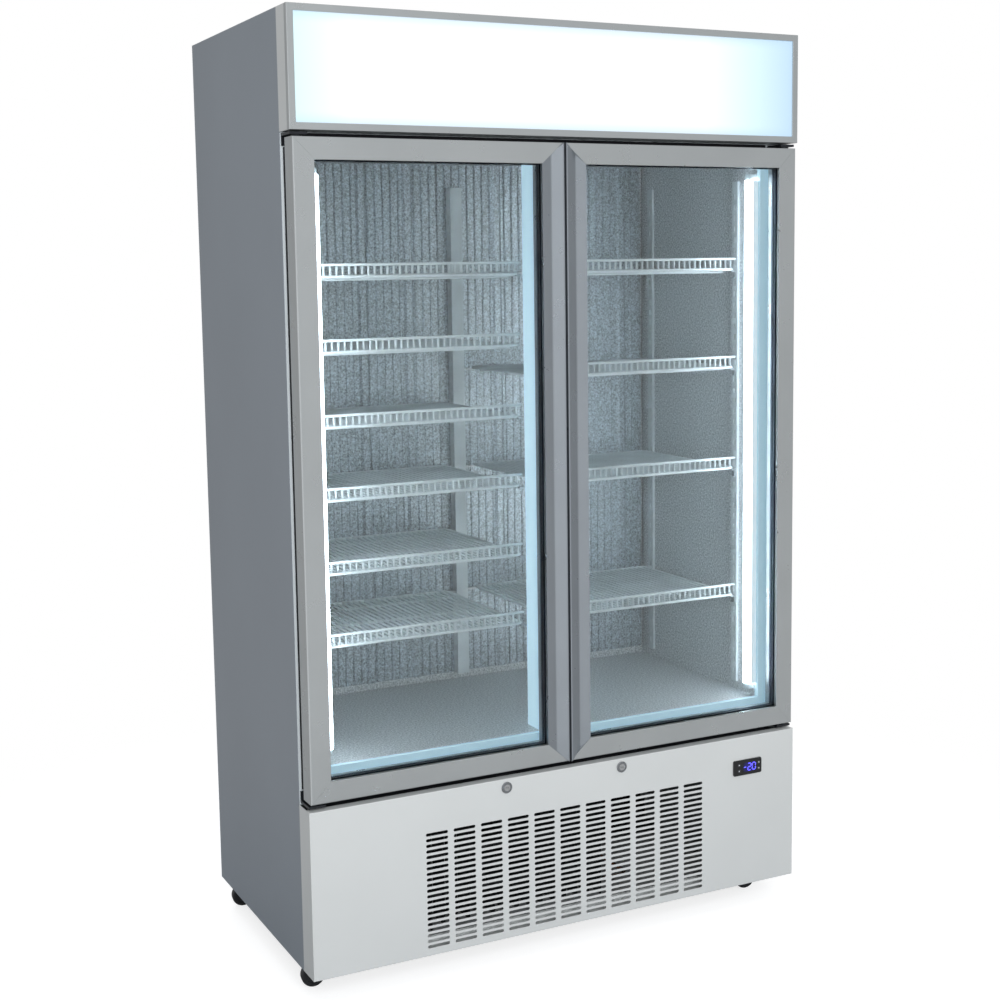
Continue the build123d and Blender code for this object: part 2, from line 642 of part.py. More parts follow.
def sign_area(grow):
    """Lit area of the light box, grown on every side."""
    edge = BEZEL - grow
    return area((-HALF + edge, LIGHT_BOX_Z + edge), (HALF - edge, HEIGHT - edge))


def light_box_panel():
    return plate_xz(sign_area(SIGN_OVERLAP - SIGN_CLEAR), FRONT + BEZEL_FRONT, SIGN_THICKNESS)


def light_box_lamps():
    """Two lamps on holders against the back plate of the light box."""
    back_plate = SEAL - BOX_SHEET
    y = back_plate - LAMP_STANDOFF
    middle = LIGHT_BOX_Z + LIGHT_BOX_HEIGHT / 2
    half = LAMP_LENGTH / 2
    lamps = []
    for z in (middle - LAMP_SPACING / 2, middle + LAMP_SPACING / 2):
        tube = rod_x(LAMP_RADIUS, -half, half, y, z)
        holder = block((-half - LAMP_HOLDER, y - LAMP_RADIUS, z - LAMP_RADIUS),
                       (-half, back_plate, z + LAMP_RADIUS))
        lamps.append(tube + [holder, mirrored(holder)])
    return group(lamps)


def tube_levels():
    return FLOOR_Z + TUBE_ABOVE_FLOOR, HEADER_Z - TUBE_BELOW_HEADER


def interior_lamps():
    """Upright lamp on each side wall, beside the door, with a round front."""
    y = SEAL + TUBE_BEHIND_SEAL
    flat_x = -INNER + TUBE_FLAT
    flat = area((-INNER, y - TUBE_HALF_WIDTH), (flat_x, y + TUBE_HALF_WIDTH))
    front = Pos(flat_x, y) * Circle(TUBE_HALF_WIDTH)
    low, high = tube_levels()
    lamp = plate_xy(flat + (front - area((-HALF, y - HALF), (flat_x, y + HALF))), low, high - low)
    return group([lamp, mirrored(lamp)])


def lamp_clips():
    """Clip at each end of the interior lamps."""
    y = SEAL + TUBE_BEHIND_SEAL
    half = TUBE_HALF_WIDTH * 2 / 3
    low, high = tube_levels()
    clips = [block((-INNER, y - half, z), (-INNER + TUBE_CLIP_REACH, y + half, z + TUBE_CLIP))
             for z in (low - TUBE_CLIP, high)]
    clips = [chamfer(clip.edges().filter_by(Axis.Z).group_by(Axis.X)[-1], half / 3) for clip in clips]
    return group(clips + [mirrored(clip) for clip in clips])


def pilaster_levels():
    return FLOOR_Z + PILASTER_FOOT, HEADER_Z - PILASTER_HEAD


def slotted_strip(width, across):
    """Outline of a pilaster in its own plane, with its row of slots at one place across."""
    low, high = pilaster_levels()
    count = int((high - low - PILASTER_PITCH) // PILASTER_PITCH)
    slots = [Pos(across, low + (i + 1) * PILASTER_PITCH) * Rectangle(PILASTER_SLOT_WIDTH, PILASTER_SLOT)
             for i in range(count)]
    return holed(area((across - width / 2, low), (across + width / 2, high)), slots)


def shelf_pilasters():
    """Slotted strips on the side walls and two slotted uprights in the middle."""
    strips = [plate_yz(slotted_strip(PILASTER_WIDTH, y), -INNER, PILASTER_THICKNESS) for y in PILASTER_ROWS]
    uprights = [plate_yz(slotted_strip(UPRIGHT_DEPTH, y), -UPRIGHT_WIDTH / 2, UPRIGHT_WIDTH)
                for y in upright_places()]
    return group(strips + [mirrored(strip) for strip in strips] + uprights)


def upright_places():
    """Front upright against the mullion and rear one against the ribbed panel."""
    return SEAL + MULLION_DEPTH + UPRIGHT_DEPTH / 2, INNER_BACK - DUCT_STAND - UPRIGHT_DEPTH / 2


def back_duct_panel():
    """Embossed rear panel with upright ribs, standing off the liner on its folded sides."""
    face = INNER_BACK - DUCT_STAND
    edge = INNER - DUCT_MARGIN
    pitch = 2 * edge / RIB_COUNT
    front = [(-edge, INNER_BACK), (-edge, face)]
    for i in range(RIB_COUNT):
        middle = -edge + (i + 0.5) * pitch
        if abs(middle) < UPRIGHT_WIDTH:
            continue
        half = RIB_WIDTH / 2
        front += [(middle - half, face), (middle - half + RIB_FOOT, face - RIB_RISE),
                  (middle + half - RIB_FOOT, face - RIB_RISE), (middle + half, face)]
    front += [(edge, face), (edge, INNER_BACK)]
    inside = [(x - DUCT_SHEET if x > 0 and y == INNER_BACK else x, y) for x, y in front]
    rear = [(x, y + DUCT_SHEET) for x, y in reversed(inside[1:-1])]
    rear[0] = (edge - DUCT_SHEET, face + DUCT_SHEET)
    rear[-1] = (-edge + DUCT_SHEET, face + DUCT_SHEET)
    outline = front + [(edge - DUCT_SHEET, INNER_BACK)] + rear + [(-edge + DUCT_SHEET, INNER_BACK)]
    bottom = FLOOR_Z + DUCT_FOOT
    return plate_xy(Polygon(*outline, align=None), bottom, COVER_Z - bottom)


def shelf_span():
    """Sides of a shelf in the left bay."""
    return -INNER + SHELF_OUTER_GAP, -SHELF_INNER_GAP


def shelf(level):
    """Wire shelf of the left bay: the deck, and the fence along its front edge."""
    x0, x1 = shelf_span()
    y0 = SEAL + SHELF_FRONT
    y1 = SHELF_REAR_Y
    run = x1 - x0 - 2 * SHELF_BORDER + SHELF_WIRE
    gaps = round(run / SHELF_PITCH)
    pitch = run / gaps
    gap = pitch - SHELF_WIRE
    columns = [x0 + SHELF_BORDER + i * pitch for i in range(gaps)]
    step = (y1 - y0 - SHELF_BORDER) / SHELF_SPANS
    rows = [(y0 + SHELF_BORDER + j * step, y0 + (j + 1) * step) for j in range(SHELF_SPANS)]
    deck_gaps = [area((x, low), (x + gap, high)) for x in columns for low, high in rows]
    deck = plate_xy(holed(area((x0, y0), (x1, y1)), deck_gaps), level - SHELF_DECK, SHELF_DECK)
    top = level + FENCE_HEIGHT
    fence_gaps = [area((x, level + FENCE_RAIL), (x + gap, top - FENCE_RAIL)) for x in columns]
    fence = plate_xz(holed(area((x0, level), (x1, top)), fence_gaps), y0, FENCE_THICKNESS)
    return [deck, fence]


def shelf_levels():
    """Deck tops of the left and of the right bay."""
    return [FLOOR_Z + h for h in LEFT_SHELVES], [FLOOR_Z + h for h in RIGHT_SHELVES]


def shelves_left():
    return group([piece for level in shelf_levels()[0] for piece in shelf(level)])


def shelves_right():
    return group([mirrored(piece) for level in shelf_levels()[1] for piece in shelf(level)])


def shelf_clips():
    """Four clips under every shelf, hooked to the strips and uprights."""
    left, right = shelf_levels()
    pieces = [clip for level in left for clip in shelf_clip_set(level)]
    pieces += [mirrored(clip) for level in right for clip in shelf_clip_set(level)]
    return group(pieces)


def shelf_clip_set(level):
    """Clips of one shelf in the left bay."""
    x0, x1 = shelf_span()
    wall = -INNER + PILASTER_THICKNESS
    middle = -UPRIGHT_WIDTH / 2
    top = level - SHELF_DECK
    set_of_clips = []
    for y in PILASTER_ROWS:
        set_of_clips.append(clip(wall, x0 + CLIP_REACH_UNDER, 1, y, top))
    for y in upright_places():
        set_of_clips.append(clip(middle, x1 - CLIP_REACH_UNDER, -1, y, top))
    return set_of_clips


def clip(root, end, towards, y, top):
    """Angle clip: a plate on its strip and a tab under the shelf."""
    low = top - CLIP_HEIGHT
    half = CLIP_DEPTH / 2
    plate_end = root + towards * CLIP_PLATE
    plate = block((min(root, plate_end), y - half, low), (max(root, plate_end), y + half, top))
    tab = block((min(root, end), y - half, top - CLIP_TAB), (max(root, end), y + half, top))
    return plate + tab


def evaporator_cover():
    """Ceiling panel with a round field of air slots under each fan."""
    outline = area((-INNER, SEAL + HEADER_WALL), (INNER, INNER_BACK))
    slots = [slot for side in (-1, 1) for slot in fan_slots(side * EVAPORATOR_FAN_X)]
    return plate_xy(holed(outline, slots), COVER_Z, SHEET)


def fan_slots(x):
    y = SEAL + EVAPORATOR_FAN_Y
    length = AIR_SLOT_LENGTH
    places = [((i - 0.5) * (length + AIR_SLOT_WIDTH), (j - (AIR_SLOT_ROWS - 1) / 2) * AIR_SLOT_PITCH)
              for i in range(2) for j in range(AIR_SLOT_ROWS)]
    return [Pos(x + u, y + v) * SlotOverall(length, AIR_SLOT_WIDTH) for u, v in places]


def finned_coil(length, depth, height, fins, rows, columns):
    """Fin pack along X with its tubes, from the lowest front left corner of the fins."""
    step = length / (fins - 1)
    pack = [block((i * step - FIN / 2, 0, 0), (i * step + FIN / 2, depth, height)) for i in range(fins)]
    row_pitch = height / rows
    column_pitch = depth / columns
    tubes = [rod_x(COIL_TUBE, -STUB, length + STUB, (c + 0.5) * column_pitch, (r + 0.5) * row_pitch)
             for r in range(rows) for c in range(columns)]
    return pack, tubes


def coil_with_ends(length, depth, height, fins, rows, columns, end_low, end_high):
    """Coil with an end plate at each side, drawn between two corners in Y and Z."""
    pack, tubes = finned_coil(length, depth, height, fins, rows, columns)
    ends = [plate_yz(area(end_low, end_high), x, END_PLATE) for x in (-END_PLATE, length)]
    return ends[0] + [ends[1]] + tubes + pack


def evaporator_coil():
    rise = EVAPORATOR_LEGS
    coil = coil_with_ends(EVAPORATOR_LENGTH, EVAPORATOR_DEPTH, EVAPORATOR_HEIGHT, EVAPORATOR_FINS, 3, 4,
                          (0, -rise), (EVAPORATOR_DEPTH, EVAPORATOR_HEIGHT))
    return Pos(-EVAPORATOR_LENGTH / 2, INNER_BACK - EVAPORATOR_REAR_GAP - EVAPORATOR_DEPTH, COVER_Z + SHEET + rise) * coil


def condenser_coil():
    foot = CONDENSER_FOOT
    coil = coil_with_ends(CONDENSER_LENGTH, CONDENSER_DEPTH, CONDENSER_HEIGHT, CONDENSER_FINS, 6, 2,
                          (0, -foot), (CONDENSER_DEPTH + CONDENSER_FLANGE, CONDENSER_HEIGHT))
    left = CONDENSER_X - CONDENSER_LENGTH / 2
    return Pos(left, SEAL + CONDENSER_FRONT, BASE_TOP + foot) * coil


def axial_fan(tip):
    """Fan on the Z axis, its hub standing on the XY plane, blowing down."""
    hub = plate_xy(Circle(FAN_HUB), 0, FAN_HUB_HEIGHT)
    inner = FAN_HUB - FAN_BLADE
    blade = Pos((inner + tip) / 2, 0, FAN_HUB_HEIGHT / 2) * Rot(FAN_PITCH, 0, 0) * Box(
        tip - inner, FAN_CHORD, FAN_BLADE)
    blades = [Rot(0, 0, i * 360 / FAN_BLADES) * blade for i in range(FAN_BLADES)]
    bore = plate_xy(Circle(FAN_BORE + FAN_SHAFT_CLEAR), 0, FAN_HUB_HEIGHT)
    return hub + blades - bore


def fan_motor(half_bar):
    """Motor for such a fan, with its shaft in the hub and a bar across to carry it."""
    bar_z = FAN_HUB_HEIGHT + FAN_GAP
    bar = block((-half_bar, -MOTOR_BAR / 2, bar_z), (half_bar, MOTOR_BAR / 2, bar_z + MOTOR_BAR_THICKNESS))
    body = plate_xy(Circle(MOTOR_RADIUS), bar_z + MOTOR_BAR_THICKNESS, MOTOR_LENGTH)
    shaft = plate_xy(Circle(FAN_BORE), 0, bar_z)
    return bar + [body, shaft]


def evaporator_fan_place(side):
    return Pos(side * EVAPORATOR_FAN_X, SEAL + EVAPORATOR_FAN_Y, COVER_Z + SHEET + FAN_GAP)


def condenser_fan_place():
    """The condenser's fan blows towards the back, so its axis lies along Y."""
    bar_z = FAN_HUB_HEIGHT + FAN_GAP + MOTOR_BAR_THICKNESS
    flange_end = SEAL + CONDENSER_FRONT + CONDENSER_DEPTH + CONDENSER_FLANGE
    height = BASE_TOP + CONDENSER_FOOT + CONDENSER_HEIGHT / 2
    return Pos(CONDENSER_X, flange_end - bar_z, height) * Rot(-90, 0, 0)


def evaporator_fan(side):
    return evaporator_fan_place(side) * axial_fan(EVAPORATOR_FAN_TIP)


def condenser_fan():
    return condenser_fan_place() * axial_fan(CONDENSER_FAN_TIP)


def fan_motors():
    """Two motors on posts above the ceiling panel, one between the condenser's end plates."""
    half = EVAPORATOR_FAN_TIP + MOTOR_POST_GAP
    bar_z = FAN_HUB_HEIGHT + FAN_GAP
    post = block((-half, -MOTOR_BAR / 2, -FAN_GAP), (-half + MOTOR_BAR_THICKNESS, MOTOR_BAR / 2, bar_z))
    cold = fan_motor(half) + [post, mirrored(post)]
    warm = fan_motor(CONDENSER_LENGTH / 2)
    return group([evaporator_fan_place(-1) * cold, evaporator_fan_place(1) * cold,
                  condenser_fan_place() * warm])


def compressor():
    """Welded steel shell on a foot plate with four grommets, and its terminal box."""
    z = BASE_TOP
    shell_z = z + COMPRESSOR_FOOT + COMPRESSOR_BASE
    shell = Pos(0, 0, shell_z + COMPRESSOR_SHELL / 2) * Cylinder(COMPRESSOR_RADIUS, COMPRESSOR_SHELL)
    shell = fillet(shell.edges().group_by(Axis.Z)[-1], COMPRESSOR_DOME)
    half = COMPRESSOR_BASE_SIZE / 2
    plate = block((-half, -half, z + COMPRESSOR_FOOT), (half, half, shell_z))
    reach = half - COMPRESSOR_GROMMET
    feet = [plate_xy(Pos(x, y) * Circle(COMPRESSOR_GROMMET), z, COMPRESSOR_FOOT)
            for x in (-reach, reach) for y in (-reach, reach)]
    width, depth, height = TERMINAL_BOX
    box = block((-width / 2, -COMPRESSOR_RADIUS - depth, shell_z + STUB),
                (width / 2, 0, shell_z + STUB + height))
    stubs = [rod_x(PIPE_RADIUS, x0, x1, 0, compressor_port())
             for x0, x1 in ((-COMPRESSOR_RADIUS - STUB, 0), (0, COMPRESSOR_RADIUS + STUB))]
    return Pos(COMPRESSOR_X, COMPRESSOR_Y, 0) * (shell + [plate, box] + feet + stubs)


def compressor_port():
    return BASE_TOP + COMPRESSOR_FOOT + COMPRESSOR_BASE + COMPRESSOR_SHELL / 2


def pipe(*points):
    """Bent tube along straight runs."""
    path = FilletPolyline(*points, radius=PIPE_BEND)
    return sweep((path ^ 0) * Circle(PIPE_RADIUS), path=path)


def refrigerant_pipes():
    """Hot gas pipe, liquid pipe with its drier, and suction pipe, up to where they enter the foam."""
    y = COMPRESSOR_Y
    rear = BACK - PIPE_REAR
    coil_x = CONDENSER_X + CONDENSER_LENGTH / 2 + STUB
    coil_y = SEAL + CONDENSER_FRONT + CONDENSER_DEPTH / 4
    row = CONDENSER_HEIGHT / 6
    coil_low = BASE_TOP + CONDENSER_FOOT + row / 2
    coil_high = coil_low + 5 * row
    port = compressor_port()
    reach = COMPRESSOR_RADIUS + STUB
    middle = (coil_x + COMPRESSOR_X - reach) / 2
    hot = pipe((COMPRESSOR_X - reach, y, port), (middle, y, port), (middle, y, coil_high),
               (middle, coil_y, coil_high), (coil_x, coil_y, coil_high))
    liquid = pipe((coil_x, coil_y, coil_low), (middle, coil_y, coil_low), (middle, rear, coil_low),
                  (middle, rear, PANEL_TOP))
    drier_z = (coil_low + PANEL_TOP) / 2
    drier = plate_xy(Pos(middle, rear) * Circle(DRIER_RADIUS), drier_z - DRIER_LENGTH / 2, DRIER_LENGTH)
    right = COMPRESSOR_X + reach + 2 * PIPE_BEND
    suction = pipe((COMPRESSOR_X + reach, y, port), (right, y, port), (right, rear, port),
                   (right, rear, PANEL_TOP))
    return group([hot, liquid + drier, suction])


def condensate_tray():
    width, depth, height = TRAY_SIZE
    x = -HALF + TRAY_INSET - width / 2
    y = BACK - TRAY_REAR - depth / 2
    outer = block((x, y, BASE_TOP), (x + width, y + depth, BASE_TOP + height))
    inner = block((x + TRAY_WALL, y + TRAY_WALL, BASE_TOP + TRAY_WALL),
                  (x + width - TRAY_WALL, y + depth - TRAY_WALL, BASE_TOP + height))
    return outer - inner


def door_corners():
    """Outer corners and sight corners of the left door, in X and Z, clockwise from top left."""
    outer = [(DOOR_OUTER, DOOR_TOP), (DOOR_INNER, DOOR_TOP),
             (DOOR_INNER, DOOR_BOTTOM), (DOOR_OUTER, DOOR_BOTTOM)]
    left = DOOR_OUTER + RAIL_WIDTH
    right = DOOR_INNER - GRIP_WIDTH
    top = DOOR_TOP - RAIL_WIDTH
    bottom = DOOR_BOTTOM + RAIL_WIDTH
    return outer, [(left, top), (right, top), (right, bottom), (left, bottom)]


def mitre(solid, side):
    """One side of the frame, cut from corner to corner. Sides: top, right, bottom, left."""
    outer, sight = door_corners()
    after = (side + 1) % 4
    outline = Polygon(outer[side], outer[after], sight[after], sight[side], align=None)
    return solid & plate_xz(outline, FRONT - GRIP_PROUD, GRIP_PROUD + DOOR_THICKNESS)


def glass_channel():
    """Front and rear of the channel that holds the glass, behind the door front."""
    return GLASS_SET, GLASS_SET + PANES * PANE + (PANES - 1) * PANE_GAP


def rail_section():
    """Plain frame profile: u from the outer edge to the sight edge, v backwards."""
    glass_front, glass_back = glass_channel()
    web = RAIL_WIDTH - GLASS_LIP
    section = Polygon((0, 0), (RAIL_WIDTH, 0), (RAIL_WIDTH, glass_front), (web, glass_front),
                      (web, glass_back), (RAIL_WIDTH, glass_back), (RAIL_WIDTH, DOOR_THICKNESS),
                      (0, DOOR_THICKNESS), align=None)
    section = rounded(section, RAIL_ROUND, (0, 0))
    return rounded(section, RAIL_BEAD, (RAIL_WIDTH, 0))


def grip_section():
    """Profile of the meeting stile: the finger groove and the lip at the meeting edge."""
    glass_front, glass_back = glass_channel()
    web = GRIP_WIDTH - GLASS_LIP
    section = Polygon((0, -GRIP_PROUD), (GRIP_NOSE, -GRIP_PROUD), (GRIP_CREASE, GRIP_DEPTH), (GRIP_WIDTH, 0),
                      (GRIP_WIDTH, glass_front), (web, glass_front), (web, glass_back),
                      (GRIP_WIDTH, glass_back), (GRIP_WIDTH, DOOR_THICKNESS), (0, DOOR_THICKNESS),
                      align=None)
    section = rounded(section, GRIP_CREASE_RADIUS, (GRIP_CREASE, GRIP_DEPTH))
    return rounded(section, GRIP_NOSE_RADIUS, (0, -GRIP_PROUD), (GRIP_NOSE, -GRIP_PROUD))


def hinge_holes():
    """Holes for the two hinge pins in the left door."""
    depth = PIN_REACH + PIN_HOLE_SPARE
    hole = Pos(HINGE_X, HINGE_Y) * Circle(PIN_RADIUS + PIN_CLEAR)
    return [plate_xy(hole, DOOR_BOTTOM, depth), plate_xy(hole, DOOR_TOP - depth, depth)]


def cam_pocket(lock_x):
    """Pocket in the bottom rail that the lock's cam swings up into."""
    near = lock_x - CAM_WIDTH / 2 - CAM_CLEAR
    far = lock_x + CAM_REACH + CAM_CLEAR
    return block((near, CAM_Y - CAM_CLEAR, DOOR_BOTTOM),
                 (far, CAM_Y + CAM_THICKNESS + CAM_CLEAR, DOOR_BOTTOM + CAM_ENTRY))


def door_frame(lock_x):
    """Top rail, bottom rail and hinge stile of the left door, mitred."""
    section = rail_section()
    length = DOOR_INNER - DOOR_OUTER
    height = DOOR_TOP - DOOR_BOTTOM
    along_x = Plane(origin=(DOOR_OUTER, FRONT, DOOR_TOP), x_dir=(0, 0, -1), z_dir=(1, 0, 0))
    top = extrude(along_x * section, amount=length, dir=(1, 0, 0))
    along_x_low = Plane(origin=(DOOR_OUTER, FRONT, DOOR_BOTTOM), x_dir=(0, 0, 1), z_dir=(-1, 0, 0))
    bottom = extrude(along_x_low * section, amount=length, dir=(1, 0, 0))
    along_z = Plane(origin=(DOOR_OUTER, FRONT, DOOR_BOTTOM), x_dir=(1, 0, 0), z_dir=(0, 0, 1))
    stile = extrude(along_z * section, amount=height, dir=(0, 0, 1))
    holes = hinge_holes()
    cuts = holes + mitre_grooves()
    top = mitre(top, 0) - cuts
    bottom = mitre(bottom, 2) - cuts - cam_pocket(lock_x)
    stile = mitre(stile, 3) - cuts
    return group([top, bottom, stile])


def mitre_grooves():
    """Fine groove in the door front along each mitre joint."""
    grooves = []
    for (x0, z0), (x1, z1) in zip(*door_corners()):
        across = Vector(z1 - z0, x0 - x1).normalized() * MITRE_GROOVE / 2
        line = Polygon((x0 + across.X, z0 + across.Y), (x1 + across.X, z1 + across.Y),
                       (x1 - across.X, z1 - across.Y), (x0 - across.X, z0 - across.Y), align=None)
        grooves.append(plate_xz(line, FRONT, MITRE_GROOVE / 2))
    return grooves


def grip_stile():
    """Meeting stile of the left door."""
    plane = Plane(origin=(DOOR_INNER, FRONT, DOOR_TOP), x_dir=(-1, 0, 0), z_dir=(0, 0, -1))
    stile = extrude(plane * grip_section(), amount=DOOR_TOP - DOOR_BOTTOM, dir=(0, 0, -1))
    return mitre(stile, 1)


def glass_area(grow):
    """Sight opening of the left door, grown on every side."""
    sight = door_corners()[1]
    return area((sight[3][0] - grow, sight[3][1] - grow), (sight[1][0] + grow, sight[1][1] + grow))


def pane_fronts():
    return [FRONT + GLASS_SET + i * (PANE + PANE_GAP) for i in range(PANES)]


def door_glass():
    """Panes of the insulating glass unit."""
    outline = glass_area(GLASS_LIP - GLASS_EDGE_CLEAR)
    return group([plate_xz(outline, y, PANE) for y in pane_fronts()])


def door_spacers():
    """Dark spacer between each two panes."""
    ring = holed(glass_area(GLASS_LIP - GLASS_EDGE_CLEAR), [glass_area(-SPACER_SHOW)])
    return group([plate_xz(ring, y + PANE, PANE_GAP) for y in pane_fronts()[:-1]])


def gasket_ring(inset):
    """Ring along the door's back, drawn between two insets from the outer edge of the seal."""
    def edge(by):
        return area((DOOR_OUTER + GASKET_INSET + by, DOOR_BOTTOM + GASKET_INSET + by),
                    (DOOR_INNER - GASKET_MEETING_INSET - by, DOOR_TOP - GASKET_INSET - by))
    return holed(edge(inset), [edge(GASKET_WIDTH - inset)])


def door_gasket():
    """Magnetic seal: foot on the door, narrow bellows, magnet strip against the cabinet."""
    front = FRONT + DOOR_THICKNESS
    rear = SEAL - SEAL_CLEAR
    neck_inset = (GASKET_WIDTH - GASKET_NECK) / 2
    foot = plate_xz(gasket_ring(0), front, GASKET_BASE)
    neck = plate_xz(gasket_ring(neck_inset), front + GASKET_BASE, rear - front - GASKET_BASE - GASKET_MAGNET)
    magnet = plate_xz(gasket_ring(0), rear - GASKET_MAGNET, GASKET_MAGNET)
    return foot + [neck, magnet]


def hinge_bracket(door_edge, upwards):
    """Angle bracket on the jamb, with a washer and the pin that the left door turns on."""
    gap = DOOR_GAP_BOTTOM if upwards > 0 else DOOR_GAP_TOP
    washer = gap / 3
    pin_end = door_edge + upwards * PIN_REACH
    seat = door_edge - upwards * SEAL_CLEAR
    plate_top = door_edge - upwards * washer
    plate_low = plate_top - upwards * HINGE_PLATE
    left = -HALF + HINGE_EDGE

    def slab(low, high):
        return block((low[0], low[1], min(low[2], high[2])), (high[0], high[1], max(low[2], high[2])))

    arm = slab((left, FRONT + HINGE_FRONT, plate_low), (left + HINGE_ARM, SEAL, plate_top))
    leg = slab((left, SEAL - HINGE_LEG, plate_low),
               (left + HINGE_LEG_WIDTH, SEAL, plate_low + upwards * HINGE_LEG_HEIGHT))
    axis = Pos(HINGE_X, HINGE_Y)
    disc = plate_xy(axis * Circle(WASHER_RADIUS), min(plate_top, seat), abs(seat - plate_top))
    pin = plate_xy(axis * Circle(PIN_RADIUS), min(plate_top, pin_end), abs(pin_end - plate_top))
    return arm + [leg, disc, pin]


def hinge_brackets():
    left = [hinge_bracket(DOOR_BOTTOM, 1), hinge_bracket(DOOR_TOP, -1)]
    return group(left + [mirrored(bracket) for bracket in left])


def door_nodes():
    """Both doors: the right one is the left one mirrored, with its own lock pocket."""
    grip = grip_stile()
    pieces = {"grip_stile": grip, "glass": door_glass(), "spacers": door_spacers(), "gasket": door_gasket()}
    nodes = {"door_left_frame": door_frame(LOCK_LEFT_X), "door_right_frame": mirrored(door_frame(-LOCK_RIGHT_X))}
    for name, piece in pieces.items():
        nodes["door_left_" + name] = piece
        nodes["door_right_" + name] = mirrored(piece)
    return nodes


def caster_nodes():
    fork = Rot(0, 0, CASTER_HEADING) * caster_fork()
    wheel = Rot(0, 0, CASTER_HEADING) * caster_wheel()
    names = ("front_left", "front_right", "rear_left", "rear_right")
    nodes = {}
    for name, (x, y) in zip(names, caster_places()):
        nodes["caster_fork_" + name] = Pos(x, y) * fork
        nodes["caster_wheel_" + name] = Pos(x, y) * wheel
    return nodes


def main():
    left_side = side_panel()
    nodes = {
        "base_frame": base_frame(),
        "side_panel_left": left_side,
        "side_panel_right": mirrored(left_side),
        "back_panel": back_panel(),
        "top_panel": top_panel(),
        "cable_gland": cable_gland(),
        "insulation_foam": insulation_foam(),
        "inner_liner": inner_liner(),
        "back_duct_panel": back_duct_panel(),
        "evaporator_cover": evaporator_cover(),
        "opening_trim": opening_trim(),
        "centre_mullion": centre_mullion(),
        "light_box_housing": light_box_housing(),
        "light_box_frame": light_box_frame(),
        "light_box_panel": light_box_panel(),
        "light_box_lamps": light_box_lamps(),
        "grille_panel": grille_panel(),
        "lock_housings": group([lock_housing(LOCK_LEFT_X), lock_housing(LOCK_RIGHT_X)]),
        "lock_plug_left": lock_plug(LOCK_LEFT_X, 1),
        "lock_plug_right": lock_plug(LOCK_RIGHT_X, -1),
        "controller_case": controller_case(),
        "controller_screen": controller_screen(),
        "interior_lamps": interior_lamps(),
        "lamp_clips": lamp_clips(),
        "shelf_pilasters": shelf_pilasters(),
        "shelf_clips": shelf_clips(),
        "shelves_left": shelves_left(),
        "shelves_right": shelves_right(),
        "evaporator_coil": evaporator_coil(),
        "evaporator_fan_left": evaporator_fan(-1),
        "evaporator_fan_right": evaporator_fan(1),
        "fan_motors": fan_motors(),
        "compressor": compressor(),
        "condenser_coil": condenser_coil(),
        "condenser_fan": condenser_fan(),
        "refrigerant_pipes": refrigerant_pipes(),
        "condensate_tray": condensate_tray(),
        "hinge_brackets": hinge_brackets(),
    }
    for number, (x, z) in enumerate(key_places(), 1):
        nodes[f"controller_key_{number}"] = controller_key(x, z)
    nodes.update(door_nodes())
    nodes.update(caster_nodes())
    os.makedirs("parts", exist_ok=True)
    for name, shape in nodes.items():
        export_step(shape, f"parts/{name}.step")
    print(len(nodes), "nodes written")


main()
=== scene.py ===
import math

import bpy
from bpy.props import FloatProperty, FloatVectorProperty, IntProperty, PointerProperty
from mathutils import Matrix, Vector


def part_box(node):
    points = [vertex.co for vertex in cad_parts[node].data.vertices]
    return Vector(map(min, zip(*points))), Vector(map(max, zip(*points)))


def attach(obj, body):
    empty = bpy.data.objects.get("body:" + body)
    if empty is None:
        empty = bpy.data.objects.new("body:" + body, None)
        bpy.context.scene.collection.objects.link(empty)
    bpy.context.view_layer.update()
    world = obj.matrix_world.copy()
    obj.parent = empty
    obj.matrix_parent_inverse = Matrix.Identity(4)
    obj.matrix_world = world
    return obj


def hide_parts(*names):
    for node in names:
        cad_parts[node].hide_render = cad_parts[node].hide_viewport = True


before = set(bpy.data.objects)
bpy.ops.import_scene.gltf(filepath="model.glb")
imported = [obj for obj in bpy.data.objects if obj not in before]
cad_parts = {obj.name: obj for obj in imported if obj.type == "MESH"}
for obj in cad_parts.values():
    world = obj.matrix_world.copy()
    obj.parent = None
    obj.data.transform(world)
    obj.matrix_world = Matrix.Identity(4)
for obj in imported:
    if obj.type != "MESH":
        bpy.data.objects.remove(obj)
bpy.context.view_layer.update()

bl_info = {
    "name": "Glass Door Freezer",
    "version": (1, 0, 0),
    "blender": (4, 5, 0),
    "location": "View3D > Sidebar > Freezer",
    "description": "Dresses a two-door glass door freezer and sets it on a lit stage",
    "category": "Object",
}

MM = 0.001

# Turns that make a flat shape face the front or the right
FRONTWARD = (math.pi / 2, 0, 0)
RIGHTWARD = (0, math.pi / 2, 0)

# Edges sharper than the first angle are softened, those sharper than the second shade as creases
SHARP_EDGE = math.radians(60)
CREASE = math.radians(50)

# Sides of a thin round rod, and straight steps in its bends
ROD_SIDES = 8
BEND_STEPS = 5

# Deck tops of the wire shelves above the floor, in metres, lowest first
LEFT_LEVELS = (0.711, 0.865, 1.020, 1.173, 1.328, 1.483)
RIGHT_LEVELS = (0.715, 1.019, 1.257, 1.485)

# Places of the cross rods under a shelf, as shares of its depth from the front
CROSS_RODS = (0.12, 0.5, 0.88)

# Screws of the rear sheet
SCREW_SIDES = 16
SCREW_RADIUS = 4.4 * MM
SCREW_HEIGHT = 2.2 * MM
SCREW_RIM = 2.6 * MM
SCREW_RECESS = 1.2 * MM
SCREW_ROUNDING = 0.6 * MM
SCREW_INSET = 14 * MM
SCREW_ROWS = 9

# Black strips of painted shade in the gaps round the doors, with room round them, short of the
# doors' outer edges
STRIP_DEPTH = 3 * MM
STRIP_ROUNDING = 0.8 * MM
STRIP_ROOM = 1.2 * MM
STRIP_END = 40 * MM
